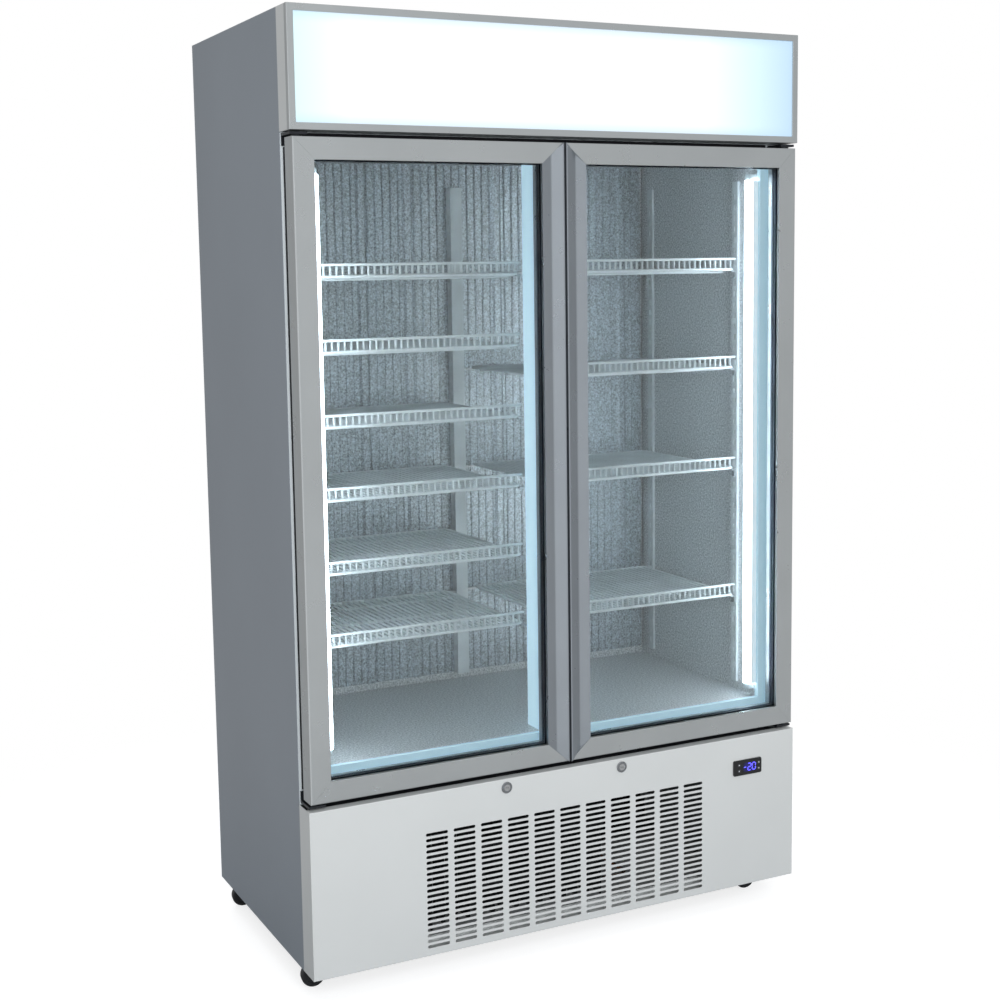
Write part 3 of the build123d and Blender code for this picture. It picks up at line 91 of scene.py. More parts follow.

# Black flap of painted shade behind the face of the lower panel and just below its top, with a
# skirt at the rear
FLAP_FRONT = 22 * MM
FLAP_DROP = 0.2 * MM
FLAP_DEPTH = 2 * MM
NOTCH_DEPTH = 9 * MM
NOTCH_ROOM = 4 * MM
SKIRT_INSET = 3 * MM
SKIRT_DEPTH = 2 * MM
SKIRT_HEIGHT = 26 * MM

# Beads of the rear sheet: sunk behind the face that lies between its ribs, and short of its ends
RIB_HEIGHT = 5 * MM
BEAD_DIAMETER = 6 * MM
BEAD_PITCH = 20 * MM
BEAD_SINK = 1.2 * MM
BEAD_END = 2 * MM

# Bars of a seven-bar figure: middle across and up in half figures, and whether the bar lies flat
BARS = {
    "top": (0, 1, True), "middle": (0, 0, True), "bottom": (0, -1, True),
    "upper_left": (-1, 0.5, False), "upper_right": (1, 0.5, False),
    "lower_left": (-1, -0.5, False), "lower_right": (1, -0.5, False),
}
MINUS = ("middle",)
TWO = ("top", "upper_right", "middle", "lower_left", "bottom")
ZERO = tuple(bar for bar in BARS if bar != "middle")

# Bars are a little shorter than half a figure; arrows have three corners
BAR_SIDES = 6
BAR_SHARE = 0.94
ARROW_SIDES = 3
ARROW_REACH = 1.9 * MM
ARROW_WIDTH = 3.2 * MM

# Soft lights: place, aim and width in metres
LIGHTS = {
    "key": ((-1.5, -4.6, 2.6), (0.1, -0.2, 0.9), 3.2),
    "fill": ((4.6, -1.8, 2.4), (0.4, 0, 1.0), 2.6),
    "top": ((0, -0.4, 5.0), (0, 0, 1.0), 3.0),
    "rear": ((0.6, 4.8, 2.6), (0, 0.3, 1.1), 3.2),
}

# Distances in metres at which the floor begins to fade and is gone, and its glow to the camera
FLOOR_FADE = (0.7, 1.8)
FLOOR_GLOW = 0.75

# Camera: place in metres, turn in degrees, film width in millimetres and vertical shift
CAMERA_PLACE = (-1.62225, -3.2306, 1.49846)
CAMERA_TURN = (83.3242, 0.8064, -26.7861)
CAMERA_FILM = 36.0
CAMERA_SHIFT = -0.05


def tint(code):
    """Linear colour with alpha from an sRGB hex code."""
    values = [int(code[i:i + 2], 16) / 255 for i in (0, 2, 4)]
    linear = [v / 12.92 if v <= 0.04045 else ((v + 0.055) / 1.055) ** 2.4 for v in values]
    return tuple(linear) + (1.0,)


def colour(name, text, code):
    """Colour setting for a panel."""
    return FloatVectorProperty(name=name, description=text, subtype="COLOR", size=4, min=0, max=1,
                               default=tint(code))


def length(name, text, millimetres):
    """Length setting for a panel."""
    return FloatProperty(name=name, description=text, unit="LENGTH", min=0, precision=4,
                         default=millimetres * MM)


def power(name, text, watts):
    """Power setting of a light for a panel."""
    return FloatProperty(name=name, description=text, subtype="POWER", min=0, default=watts)


def brightness(name, text, value):
    """Brightness setting for a panel."""
    return FloatProperty(name=name, description=text, min=0, default=value)


class FreezerFinish(bpy.types.PropertyGroup):
    """Colours of the visible finishes and the brightness of the freezer's own lamps."""
    side: colour("Sides", "Powder coat of the side and top sheets", "838C96")
    panel: colour("Lower panel", "Lacquer of the lower panel and the light box", "CDD1D2")
    profile: colour("Door frames", "Anodised profiles of the doors and the light box", "B4B9BB")
    # The grip colour is darker than the door frames' as painted shade on the meeting stiles
    grip: colour("Grips", "Anodised profiles at the meeting stiles of the doors", "969DA4")
    liner: colour("Liner", "Embossed sheets of the sides and the floor inside", "E4E8EA")
    rear: colour("Rear sheets", "Embossed sheets and beads at the back of the inside", "B4BBC0")
    wire: colour("Shelves", "Plastic coat of the wire shelves", "EDF1F2")
    figures: colour("Figures", "Lit figures of the display", "4A45FF")
    lamp_strength: brightness("Lamps", "Brightness of the lamps inside and in the light box", 36.0)
    sign_strength: brightness("Light box", "Brightness of the lit panel", 0.72)


class FreezerShelving(bpy.types.PropertyGroup):
    """Sizes of the wire shelves."""
    wire: length("Deck wire", "Diameter of the wires that run from back to front", 5.4)
    rod: length("Rod", "Diameter of the rim, the cross rods and the fence rail", 6.4)
    corner: length("Rim corner", "Radius of the corners of the rim", 14.0)
    bend: length("Wire bend", "Radius where a deck wire turns up into the fence", 6.0)
    fence: length("Fence", "Height of the fence above the deck", 25.0)
    spaces: IntProperty(name="Spaces", description="Spaces between the deck wires of one shelf",
                        min=4, default=34)


class FreezerDisplay(bpy.types.PropertyGroup):
    """Sizes of the figures and key marks on the controller."""
    figure_height: length("Figure height", "Height of the lit figures", 16.5)
    figure_width: length("Figure width", "Width of a lit figure", 9.0)
    figure_pitch: length("Figure pitch", "Distance from figure to figure", 12.4)
    bar: length("Bar width", "Width of one bar of a figure", 2.4)
    relief: length("Relief", "How far the figures and key marks stand out", 0.2)


class FreezerStage(bpy.types.PropertyGroup):
    """Floor, light and camera."""
    floor: length("Floor", "Width of the floor", 30000.0)
    key: power("Key light", "Power of the large soft light at the front left", 215.0)
    fill: power("Fill light", "Power of the soft light at the right", 36.0)
    top: power("Top light", "Power of the soft light overhead", 30.0)
    rear: power("Rear light", "Power of the soft light behind", 110.0)
    room: brightness("Room light", "Brightness of the surrounding light", 0.4)
    lens: FloatProperty(name="Lens", description="Focal length of the camera", unit="CAMERA",
                        min=1, default=56.697)


def node(tree, kind, inputs=None, **settings):
    """Adds one shader node with its settings, and sets or links its inputs."""
    made = tree.nodes.new(kind)
    for key, value in settings.items():
        setattr(made, key, value)
    for key, value in (inputs or {}).items():
        if isinstance(value, bpy.types.NodeSocket):
            tree.links.new(value, made.inputs[key])
        else:
            made.inputs[key].default_value = value
    return made


def maths(tree, operation, *values, **settings):
    """Result of one operation on numbers."""
    inputs = dict(enumerate(values))
    return node(tree, "ShaderNodeMath", inputs, operation=operation, **settings).outputs["Value"]


def ramp(tree, value, start, end, first=0.0, last=1.0, **settings):
    """Number that goes from first to last while a value goes from start to end."""
    inputs = {"Value": value, "From Min": start, "From Max": end, "To Min": first, "To Max": last}
    return node(tree, "ShaderNodeMapRange", inputs, **settings).outputs["Result"]


def blend(tree, share, first, second):
    """Colour that goes from the first to the second by a share."""
    inputs = {"Factor": share, "A": first, "B": second}
    return node(tree, "ShaderNodeMix", inputs, data_type="RGBA").outputs["Result"]


def axes_of(tree, vector):
    """Outputs X, Y and Z of a vector."""
    return node(tree, "ShaderNodeSeparateXYZ", {"Vector": vector}).outputs


def per_metre(size):
    """How many patches of a size in millimetres go in a metre."""
    return 1 / MM / size


def noise(tree, vector, size, detail):
    """Soft random grey over patches of a size in millimetres."""
    inputs = {"Vector": vector, "Scale": per_metre(size), "Detail": detail}
    return node(tree, "ShaderNodeTexNoise", inputs).outputs["Fac"]


def finish(name, base, roughness, **sockets):
    """New material whose constant values sit on its own shader."""
    material = bpy.data.materials.new(name)
    material.use_nodes = True
    shader = material.node_tree.nodes["Principled BSDF"]
    shader.inputs["Base Color"].default_value = base
    shader.inputs["Roughness"].default_value = roughness
    for key, value in sockets.items():
        shader.inputs[key.replace("_", " ").title().replace("Ior", "IOR")].default_value = value
    return material


def parts_of(material):
    """Node tree, shader and Object coordinates of a material."""
    tree = material.node_tree
    place = node(tree, "ShaderNodeTexCoord").outputs["Object"]
    return tree, tree.nodes["Principled BSDF"], place


def mottle(material, size, spread):
    """Drift of the base colour, lighter and darker by a share, over patches in millimetres."""
    tree, shader, place = parts_of(material)
    base = tuple(shader.inputs["Base Color"].default_value)[:3]
    dark = [v * (1 - spread) for v in base] + [1]
    light = [min(v * (1 + spread), 1) for v in base] + [1]
    share = ramp(tree, noise(tree, place, size, detail=4.0), 0.32, 0.68)
    tree.links.new(blend(tree, share, dark, light), shader.inputs["Base Color"])


def relief(material, size, depth, stretch=(1, 1, 1), cells=False):
    """Bump of grains, or of rounded cells, of a size and depth in millimetres."""
    tree, shader, place = parts_of(material)
    drawn = node(tree, "ShaderNodeMapping", {"Vector": place, "Scale": stretch}).outputs["Vector"]
    if cells:
        inputs = {"Vector": drawn, "Scale": per_metre(size), "Smoothness": 0.6}
        height = node(tree, "ShaderNodeTexVoronoi", inputs, feature="SMOOTH_F1").outputs["Distance"]
    else:
        height = noise(tree, drawn, size, detail=2.0)
    bump = node(tree, "ShaderNodeBump", {"Height": height, "Distance": depth * MM, "Strength": 1.0})
    tree.links.new(bump.outputs["Normal"], shader.inputs["Normal"])


def patchy_gloss(material, size, low, high):
    """Roughness that drifts between two values over patches of a size in millimetres."""
    tree, shader, place = parts_of(material)
    drift = ramp(tree, noise(tree, place, size, detail=3.0), 0.3, 0.7, low, high)
    tree.links.new(drift, shader.inputs["Roughness"])


def powder_coat(base):
    """Polyester powder coat: satin, with a slight orange peel drawn at 5 mm so that it shows."""
    material = finish("satin_powder_coat", base, 0.42, coat_weight=0.08, coat_roughness=0.35)
    mottle(material, size=420, spread=0.035)
    relief(material, size=5.0, depth=0.035)
    return material


def silver_lacquer(name, base):
    """Sprayed silver lacquer: an even pale metal grey with a soft sheen."""
    material = finish(name, base, 0.36, metallic=0.12, coat_weight=0.12, coat_roughness=0.3)
    mottle(material, size=260, spread=0.02)
    relief(material, size=4.0, depth=0.02)
    return material


def anodised_profile(name, base):
    """Etched and anodised aluminium: a satin metal with a fine even grain, drawn at 1.6 mm."""
    material = finish(name, base, 0.3, metallic=0.8)
    mottle(material, size=160, spread=0.03)
    patchy_gloss(material, size=45, low=0.26, high=0.36)
    relief(material, size=1.6, depth=0.012)
    return material


def stucco_sheet(name, base, metallic):
    """Stucco-embossed aluminium: pebbles that break the light into fine specks, drawn at 4 mm."""
    material = finish(name, base, 0.36, metallic=metallic)
    mottle(material, size=4, spread=0.45)
    relief(material, size=4.0, depth=0.6, cells=True)
    return material


def galvanised_sheet():
    """Hot-dip galvanised steel: a dull grey sheet with faint crystal patches about 14 mm across."""
    material = finish("spangled_galvanised_steel", tint("A9AEB2"), 0.5, metallic=0.3)
    tree, shader, place = parts_of(material)
    crystals = node(tree, "ShaderNodeTexVoronoi", {"Vector": place, "Scale": per_metre(14)})
    grey = node(tree, "ShaderNodeSeparateColor", {"Color": crystals.outputs["Color"]})
    spangle = blend(tree, grey.outputs["Red"], tint("A3A8AC"), tint("AFB3B6"))
    tree.links.new(spangle, shader.inputs["Base Color"])
    patchy_gloss(material, size=30, low=0.42, high=0.58)
    return material


def zinc_plate(name):
    """Zinc-plated steel: bright, with faint cloudy patches."""
    material = finish(name, tint("C3C6C8"), 0.3, metallic=0.95)
    mottle(material, size=20, spread=0.06)
    patchy_gloss(material, size=12, low=0.24, high=0.38)
    return material


def white_vinyl(name, base):
    """Extruded white vinyl: smooth, with fine drawing lines along its height."""
    material = finish(name, base, 0.38)
    mottle(material, size=300, spread=0.015)
    relief(material, size=3.0, depth=0.02, stretch=(1, 1, 0.02))
    return material


def lamp_lit_vinyl():
    """White vinyl round the openings, with a painted glow that stands for its lamps' light, less at
    its outer edges.
    """
    material = white_vinyl("lamp_lit_vinyl", tint("C2CACE"))
    tree, shader, place = parts_of(material)
    low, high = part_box("door_left_glass")[0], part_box("door_right_glass")[1]
    middle = middle_of(low, high)
    off = node(tree, "ShaderNodeVectorMath", {0: place, 1: middle}, operation="SUBTRACT")
    size = node(tree, "ShaderNodeVectorMath", {0: off.outputs["Vector"]}, operation="ABSOLUTE")
    axes = axes_of(tree, size.outputs["Vector"])
    # Painted glow: emission that stands for the lamps' light on the vinyl, fading at its outer
    # edges
    glow = 0.42
    for axis, reach in (("X", high[0] - middle[0]), ("Z", high[2] - middle[2])):
        fade = ramp(tree, axes[axis], reach, reach + 10 * MM, first=1.0, last=0.0)
        glow = maths(tree, "MULTIPLY", fade, glow)
    shader.inputs["Emission Color"].default_value = tint("B8E4FA")
    tree.links.new(glow, shader.inputs["Emission Strength"])
    return material


def opal_acrylic(strength):
    """Opal acrylic lit from behind: white in the middle, cooler and dimmer towards its edges."""
    material = finish("lit_opal_acrylic", tint("8C979B"), 0.25, emission_strength=strength)
    tree, shader, place = parts_of(material)
    low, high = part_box("light_box_panel")
    axes = axes_of(tree, place)
    across = node(tree, "ShaderNodeValToRGB", {"Fac": ramp(tree, axes["X"], low[0], high[0])})
    stops = across.color_ramp.elements
    for share, code in ((0.1, "FFFFFF"), (0.8, "FFFFFF"), (0.9, "D6F4FF")):
        stops.new(share).color = tint(code)
    stops[0].color = tint("D2F8FC")
    stops[-1].color = tint("A6CBEE")
    middle = (low[2] + high[2]) / 2
    half = high[2] - middle
    rise = maths(tree, "ABSOLUTE", maths(tree, "SUBTRACT", axes["Z"], middle))
    rims = ramp(tree, rise, half - 30 * MM, half, last=0.6, interpolation_type="SMOOTHSTEP")
    glow = blend(tree, rims, across.outputs["Color"], tint("A6CBEE"))
    tree.links.new(glow, shader.inputs["Emission Color"])
    return material


def lamp_cover(name, lamp, strength):
    """Frosted polycarbonate over a row of lamps: a cool white glow in bands, and duller sides."""
    material = finish(name, tint("E6F0F4"), 0.4)
    tree, shader, place = parts_of(material)
    low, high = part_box(lamp)
    half = (high[1] - low[1]) / 2
    aside = maths(tree, "SUBTRACT", axes_of(tree, place)["Y"], low[1] + half)
    reach = maths(tree, "ABSOLUTE", aside)
    window = ramp(tree, reach, half * 0.86, half * 0.99, first=strength, last=0.45)
    tree.links.new(window, shader.inputs["Emission Strength"])
    bands = node(tree, "ShaderNodeTexWave", {"Vector": place, "Scale": 8.0, "Distortion": 0.0},
                 bands_direction="Z")
    glow = blend(tree, bands.outputs["Fac"], tint("DCEEFC"), tint("EEF7FF"))
    tree.links.new(glow, shader.inputs["Emission Color"])
    return material


def bright_plate(name, base, roughness):
    """Polished plate on a small turned part: mirror bright, with faint rubbing marks."""
    material = finish(name, base, roughness, metallic=1.0)
    patchy_gloss(material, size=4, low=roughness * 0.7, high=roughness * 1.5)
    return material


def moulded(name, base, roughness, grain=1.2, depth=0.03):
    """Moulded plastic or sprayed lacquer: a fine grain that softens the highlights."""
    material = finish(name, base, roughness)
    mottle(material, size=60, spread=0.06)
    relief(material, grain, depth)
    return material


def float_glass():
    """Clear float glass with a reflection-reducing coat: hardly any tint, and weak reflections."""
    material = finish("coated_float_glass", tint("FDFFFF"), 0.0, transmission_weight=1.0, ior=1.2)
    patchy_gloss(material, size=600, low=0.0, high=0.012)
    return material


def dark_spacer():
    """Dark anodised spacer between the panes: a blue-black metal that picks up the inner light."""
    material = finish("dark_anodised_spacer", tint("4A5563"), 0.38, metallic=0.8)
    mottle(material, size=30, spread=0.1)
    patchy_gloss(material, size=20, low=0.32, high=0.45)
    return material


def black_plate(name):
    """Black-passivated zinc plate: nearly black, with a dull metal sheen on the edges."""
    material = finish(name, tint("2B2E33"), 0.38, metallic=0.6)
    mottle(material, size=12, spread=0.15)
    patchy_gloss(material, size=9, low=0.3, high=0.5)
    return material


def mill_fins():
    """Mill-finish aluminium fins: bright sheet with a dusty bloom."""
    material = finish("mill_finish_fins", tint("B9BDC0"), 0.4, metallic=0.9)
    mottle(material, size=35, spread=0.1)
    return material


def drawn_copper():
    """Drawn copper tube, a little tarnished."""
    material = finish("drawn_copper", tint("B87350"), 0.28, metallic=1.0)
    mottle(material, size=25, spread=0.18)
    patchy_gloss(material, size=18, low=0.2, high=0.45)
    return material


def blown_foam():
    """Rigid polyurethane foam: matt straw yellow with fine bubbles."""
    material = finish("blown_polyurethane_foam", tint("E3D6A8"), 0.9)
    mottle(material, size=30, spread=0.08)
    relief(material, size=3.0, depth=0.6, cells=True)
    return material


def smoked_window():
    """Smoked acrylic window: glossy black, with a faint violet glow round the figures."""
    material = finish("smoked_window", tint("07080F"), 0.12, emission_strength=0.25)
    tree, shader, place = parts_of(material)
    low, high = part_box("controller_screen")
    middle = middle_of(low, high)
    away = node(tree, "ShaderNodeVectorMath", {0: place, 1: middle}, operation="DISTANCE")
    share = ramp(tree, away.outputs["Value"], 4 * MM, 20 * MM)
    glow = blend(tree, share, tint("3A30E0"), tint("000000"))
    tree.links.new(glow, shader.inputs["Emission Color"])
    return material


def lit_figures(base):
    """Light-emitting bars of the display: a violet blue glow, a little uneven."""
    material = finish("lit_figure_bars", tint("1A1C3A"), 0.3, emission_strength=2.2)
    tree, shader, place = parts_of(material)
    glow = blend(tree, noise(tree, place, size=4, detail=2.0), base, tint("6C68FF"))
    tree.links.new(glow, shader.inputs["Emission Color"])
    return material


def dress(material, *names):
    """Gives CAD nodes a finish."""
    for name in names:
        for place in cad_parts[name].material_slots:
            place.material = material


def shared(make, name, *values):
    """A finish that several groups use, made once."""
    return bpy.data.materials.get(name) or make(name, *values)


def middle_of(low, high):
    """Point halfway between two corners."""
    return tuple((a + b) / 2 for a, b in zip(low, high))


def begin():
    """Leaves nothing selected, in object mode."""
    if bpy.context.object and bpy.context.object.mode != "OBJECT":
        bpy.ops.object.mode_set(mode="OBJECT")
    bpy.ops.object.select_all(action="DESELECT")


def picked(piece):
    """Makes a piece the only one that is selected, and the active one."""
    begin()
    piece.select_set(True)
    bpy.context.view_layer.objects.active = piece
    return piece


def settle(piece):
    """Puts a piece's place, turn and scale into its mesh."""
    picked(piece)
    bpy.ops.object.transform_apply(location=True, rotation=True, scale=True)
    return piece


def copied(piece, move=(0, 0, 0), turn=(0, 0, 0)):
    """Copy of a piece with its own mesh, turned about the origin and then moved."""
    picked(piece)
    bpy.ops.object.duplicate(linked=False)
    copy = bpy.context.object
    copy.rotation_euler = turn
    copy.location = move
    return settle(copy)


def drop(piece):
    """Takes away a piece that was only made to be copied."""
    begin()
    bpy.data.objects.remove(piece)


def open_all():
    """Opens the active piece in edit mode with everything selected."""
    bpy.ops.object.mode_set(mode="EDIT")
    bpy.ops.mesh.select_all(action="SELECT")


def close():
    """Leaves edit mode."""
    bpy.ops.object.mode_set(mode="OBJECT")


def push(vector):
    """Extrudes what is selected in edit mode."""
    move = {"value": vector, "orient_type": "GLOBAL"}
    bpy.ops.mesh.extrude_region_move(TRANSFORM_OT_translate=move)


def soften(offset, segments):
    """Bevels the sharp edges of the piece in edit mode."""
    bpy.ops.mesh.select_all(action="DESELECT")
    bpy.ops.mesh.edges_select_sharp(sharpness=SHARP_EDGE)
    bpy.ops.mesh.bevel(offset=offset, segments=segments)


def disc(sides, radius, place=(0, 0, 0), turn=(0, 0, 0)):
    """Flat disc or many-sided shape."""
    begin()
    bpy.ops.mesh.primitive_circle_add(vertices=sides, radius=radius, fill_type="NGON",
                                      location=place, rotation=turn)
    return bpy.context.object


def plate(place, width, height, turn=(0, 0, 0)):
    """Flat rectangle round a place."""
    begin()
    bpy.ops.mesh.primitive_plane_add(size=1, location=place, rotation=turn)
    flat = bpy.context.object
    flat.scale = (width, height, 1)
    return settle(flat)


def extruded(piece, vector, rounding=0.0, segments=1):
    """Gives the active flat piece a body along a vector, its sharp edges softened if asked."""
    open_all()
    push(vector)
    if rounding:
        soften(rounding, segments)
    close()
    return piece


def in_a_row(piece, pitch, count):
    """Repeats the active piece along X."""
    bpy.ops.object.modifier_add(type="ARRAY")
    row = piece.modifiers[-1]
    row.use_relative_offset = False
    row.use_constant_offset = True
    row.constant_offset_displace = (pitch, 0, 0)
    row.count = count
    bpy.ops.object.modifier_apply(modifier=row.name)
    return piece


def joined(name, pieces):
    """Several pieces as one, closed and facing outwards."""
    begin()
    for piece in pieces:
        piece.select_set(True)
    bpy.context.view_layer.objects.active = pieces[0]
    if len(pieces) > 1:
        bpy.ops.object.join()
    whole = bpy.context.object
    whole.name = name
    whole.data.name = name
    open_all()
    bpy.ops.mesh.remove_doubles(threshold=1e-6)
    bpy.ops.mesh.normals_make_consistent(inside=False)
    close()
    bpy.ops.object.shade_smooth_by_angle(angle=CREASE)
    return whole


def finished(piece, material, slot, body, *replaced):
    """Gives a new piece its finish and its body, and hides the CAD nodes it stands for."""
    piece.data.materials.append(material)
    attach(piece, body)
    if replaced:
        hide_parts(*replaced)
    return piece


def rod(start, reach, diameter, turn=(0, 0, 0)):
    """Straight round rod with softened ends."""
    end = disc(ROD_SIDES, diameter / 2, start, turn)
    return settle(extruded(end, reach, diameter / 6))


def rim(x0, x1, y0, y1, z, diameter, corner):
    """Round rod bent into a closed rectangle with rounded corners."""
    plate(((x0 + x1) / 2, (y0 + y1) / 2, z), x1 - x0 - diameter, y1 - y0 - diameter)
    open_all()
    bpy.ops.mesh.delete(type="ONLY_FACE")
    bpy.ops.mesh.select_all(action="SELECT")
    bpy.ops.mesh.bevel(affect="VERTICES", offset=corner, segments=BEND_STEPS)
    close()
    bpy.ops.object.convert(target="CURVE")
    loop = bpy.context.object
    loop.data.bevel_depth = diameter / 2
    loop.data.bevel_resolution = 2
    bpy.ops.object.convert(target="MESH")
    return settle(bpy.context.object)


def deck_wires(x0, pitch, count, rear, front, level, shelving):
    """Row of wires that run from back to front and turn up into the fence."""
    radius = shelving.wire / 2
    bend = shelving.bend
    z = level - radius
    turn = front + radius + bend
    wire = disc(ROD_SIDES, radius, (x0, rear, z), FRONTWARD)
    open_all()
    push((0, turn - rear, 0))
    bpy.ops.mesh.spin(steps=BEND_STEPS, angle=math.pi / 2, center=(x0, turn, z + bend),
                      axis=(-1, 0, 0))
    push((0, 0, level + shelving.fence - shelving.rod - z - bend))
    close()
    return in_a_row(settle(wire), pitch, count)


def wire_shelf(x0, x1, y0, y1, level, shelving):
    """One shelf: rim, cross rods, deck wires and the rail of the fence."""
    thick = shelving.rod
    half = thick / 2
    low = level - shelving.wire - half
    pieces = [rim(x0, x1, y0, y1, level - shelving.wire / 2, thick, shelving.corner)]
    for share in CROSS_RODS:
        start = (x0 + half, y0 + share * (y1 - y0), low)
        pieces.append(rod(start, (x1 - x0 - thick, 0, 0), thick, RIGHTWARD))
    start = (x0, y0 + shelving.wire / 2, level + shelving.fence - half)
    pieces.append(rod(start, (x1 - x0, 0, 0), thick, RIGHTWARD))
    first = x0 + thick
    pitch = (x1 - x0 - 2 * thick) / shelving.spaces
    pieces.append(deck_wires(first, pitch, shelving.spaces + 1, y1 - half, y0, level, shelving))
    return joined("wire_shelf", pieces)


class FREEZER_OT_cabinet(bpy.types.Operator):
    """Outer sheets, base, insulation and the screws at the back"""
    bl_idname = "freezer.cabinet"
    bl_label = "Cabinet"

    def execute(self, context):
        colours = context.scene.freezer_finish
        dress(powder_coat(colours.side), "side_panel_left", "side_panel_right", "top_panel")
        dress(galvanised_sheet(), "back_panel", "base_frame")
        dress(blown_foam(), "insulation_foam")
        dress(moulded("black_nylon_gland", tint("17181A"), 0.45), "cable_gland")
        self.screws(shared(zinc_plate, "cloudy_zinc_plate"))
        return {"FINISHED"}

    def screws(self, material):
        """Pan-head screws round the edge of the rear sheet, built from one."""
        low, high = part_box("back_panel")
        rise = (high[2] - low[2] - 2 * SCREW_INSET) / (SCREW_ROWS - 1)
        heights = [low[2] + SCREW_INSET + step * rise for step in range(SCREW_ROWS)]
        places = [(x, z) for x in (low[0] + SCREW_INSET, high[0] - SCREW_INSET) for z in heights]
        places += [(x, z) for x in (low[0] / 2, 0, high[0] / 2) for z in (heights[0], heights[-1])]
        first = self.screw()
        heads = [copied(first, (x, high[1], z)) for x, z in places]
        drop(first)
        finished(joined("rear_screws", heads), material, "zinc_plated_steel", "cabinet")

    def screw(self):
        """Rounded screw head with a recess, standing backwards from the origin."""
        head = settle(disc(SCREW_SIDES, SCREW_RADIUS, turn=FRONTWARD))
        open_all()
        push((0, SCREW_HEIGHT, 0))
        bpy.ops.mesh.inset(thickness=SCREW_RIM)
        push((0, -SCREW_RECESS, 0))
        soften(SCREW_ROUNDING, segments=2)
        close()
        return head


class FREEZER_OT_light_box(bpy.types.Operator):
    """Light box over the doors, with its lit panel"""
    bl_idname = "freezer.light_box"
    bl_label = "Light box"

    def execute(self, context):
        colours = context.scene.freezer_finish
        dress(shared(silver_lacquer, "silver_lacquer", colours.panel), "light_box_housing")
        profile = shared(anodised_profile, "etched_anodised_aluminium", colours.profile)
        dress(profile, "light_box_frame")
        dress(opal_acrylic(colours.sign_strength), "light_box_panel")
        tube = lamp_cover("frosted_lamp_tube", "light_box_lamps", colours.lamp_strength)
        dress(tube, "light_box_lamps")
        return {"FINISHED"}


class FREEZER_OT_doors(bpy.types.Operator):
    """Door frames, grips, glass, spacers, seals, hinges and black strips of painted shade in the
    gaps
    """
    bl_idname = "freezer.doors"
    bl_label = "Doors"

    def execute(self, context):
        colours = context.scene.freezer_finish
        profile = shared(anodised_profile, "etched_anodised_aluminium", colours.profile)
        # The grips are a darker copy of the anodised finish: painted shade, not a darker anodise
        grip = anodised_profile("dark_anodised_grip", colours.grip)
        glass = float_glass()
        spacer = dark_spacer()
        seal = moulded("soft_white_vinyl", tint("D9DFE1"), 0.55)
        for side in ("left", "right"):
            dress(profile, f"door_{side}_frame")
            dress(grip, f"door_{side}_grip_stile")
            dress(glass, f"door_{side}_glass")
            dress(spacer, f"door_{side}_spacers")
            dress(seal, f"door_{side}_gasket")
        dress(shared(black_plate, "black_passivated_steel"), "hinge_brackets")
        self.strips()
        return {"FINISHED"}

    def strips(self):
        """Black strips on the cabinet that paint the shade seen in the gaps round the doors."""
        # Near-black finish of the strips and the flap: painted shade in the gaps, not a rubber part
        # of the freezer
        rubber = moulded("black_strip_rubber", tint("191A1F"), 0.7, 2.0)
        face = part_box("opening_trim")[0][1]
        low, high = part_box("door_left_frame")[0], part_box("door_right_frame")[1]
        soft_low, soft_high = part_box("door_left_gasket")[0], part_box("door_right_gasket")[1]
        half = high[0] - STRIP_END
        spans = {
            "lower": (-half, half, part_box("grille_panel")[1][2], low[2]),
            "upper": (-half, half, high[2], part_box("light_box_frame")[0][2]),
            "left": (low[0], soft_low[0], soft_low[2], soft_high[2]),
            "right": (soft_high[0], high[0], soft_low[2], soft_high[2]),
        }
        for name, (left, right, bottom, top) in spans.items():
            strip = plate(((left + right) / 2, face, (bottom + top) / 2),
                          right - left - 2 * STRIP_ROOM, top - bottom - 2 * STRIP_ROOM, FRONTWARD)
            extruded(strip, (0, -STRIP_DEPTH, 0), STRIP_ROUNDING, segments=2)
            finished(joined(f"gap_strip_{name}", [strip]), rubber, "gasket_rubber", "cabinet")
        finished(self.draught_flap(face, half), rubber, "gasket_rubber", "cabinet")

    def draught_flap(self, rear, half):
        """Black flap of painted shade that closes the slit behind the lower panel, notched where
        the lock cams rise.
        """
        low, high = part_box("grille_panel")
        front = low[1] + FLAP_FRONT
        notch = front + NOTCH_DEPTH
        top = high[2] - FLAP_DROP
        spans = []
        for side in ("left", "right"):
            cam_low, cam_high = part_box(f"lock_plug_{side}")
            spans.append((cam_low[0] - NOTCH_ROOM, cam_high[0] + NOTCH_ROOM))
        cuts = [((x, 0, top), (1, 0, 0)) for x in sum(spans, ())]
        cuts.append(((0, notch, top), (0, 1, 0)))
        flap = plate((0, (front + rear) / 2, top), 2 * half, rear - front)
        bpy.ops.object.mode_set(mode="EDIT")
        for point, normal in cuts:
            bpy.ops.mesh.select_all(action="SELECT")
            bpy.ops.mesh.bisect(plane_co=point, plane_no=normal)
        bpy.ops.mesh.select_all(action="DESELECT")
        bpy.ops.mesh.select_mode(type="FACE")
        close()
        for face in flap.data.polygons:
            x, y, _ = face.center
            face.select = y < notch and any(a < x < b for a, b in spans)
        bpy.ops.object.mode_set(mode="EDIT")
        bpy.ops.mesh.delete(type="FACE")
        bpy.ops.mesh.select_all(action="SELECT")
        push((0, 0, -FLAP_DEPTH))
        bpy.ops.mesh.select_mode(type="VERT")
        close()
        # The skirt is a black sheet of painted shade behind the notches
        skirt = plate((0, rear - SKIRT_INSET, top - FLAP_DEPTH), 2 * half, SKIRT_DEPTH)
        extruded(skirt, (0, 0, -SKIRT_HEIGHT))
        return joined("draught_flap", [flap, skirt])


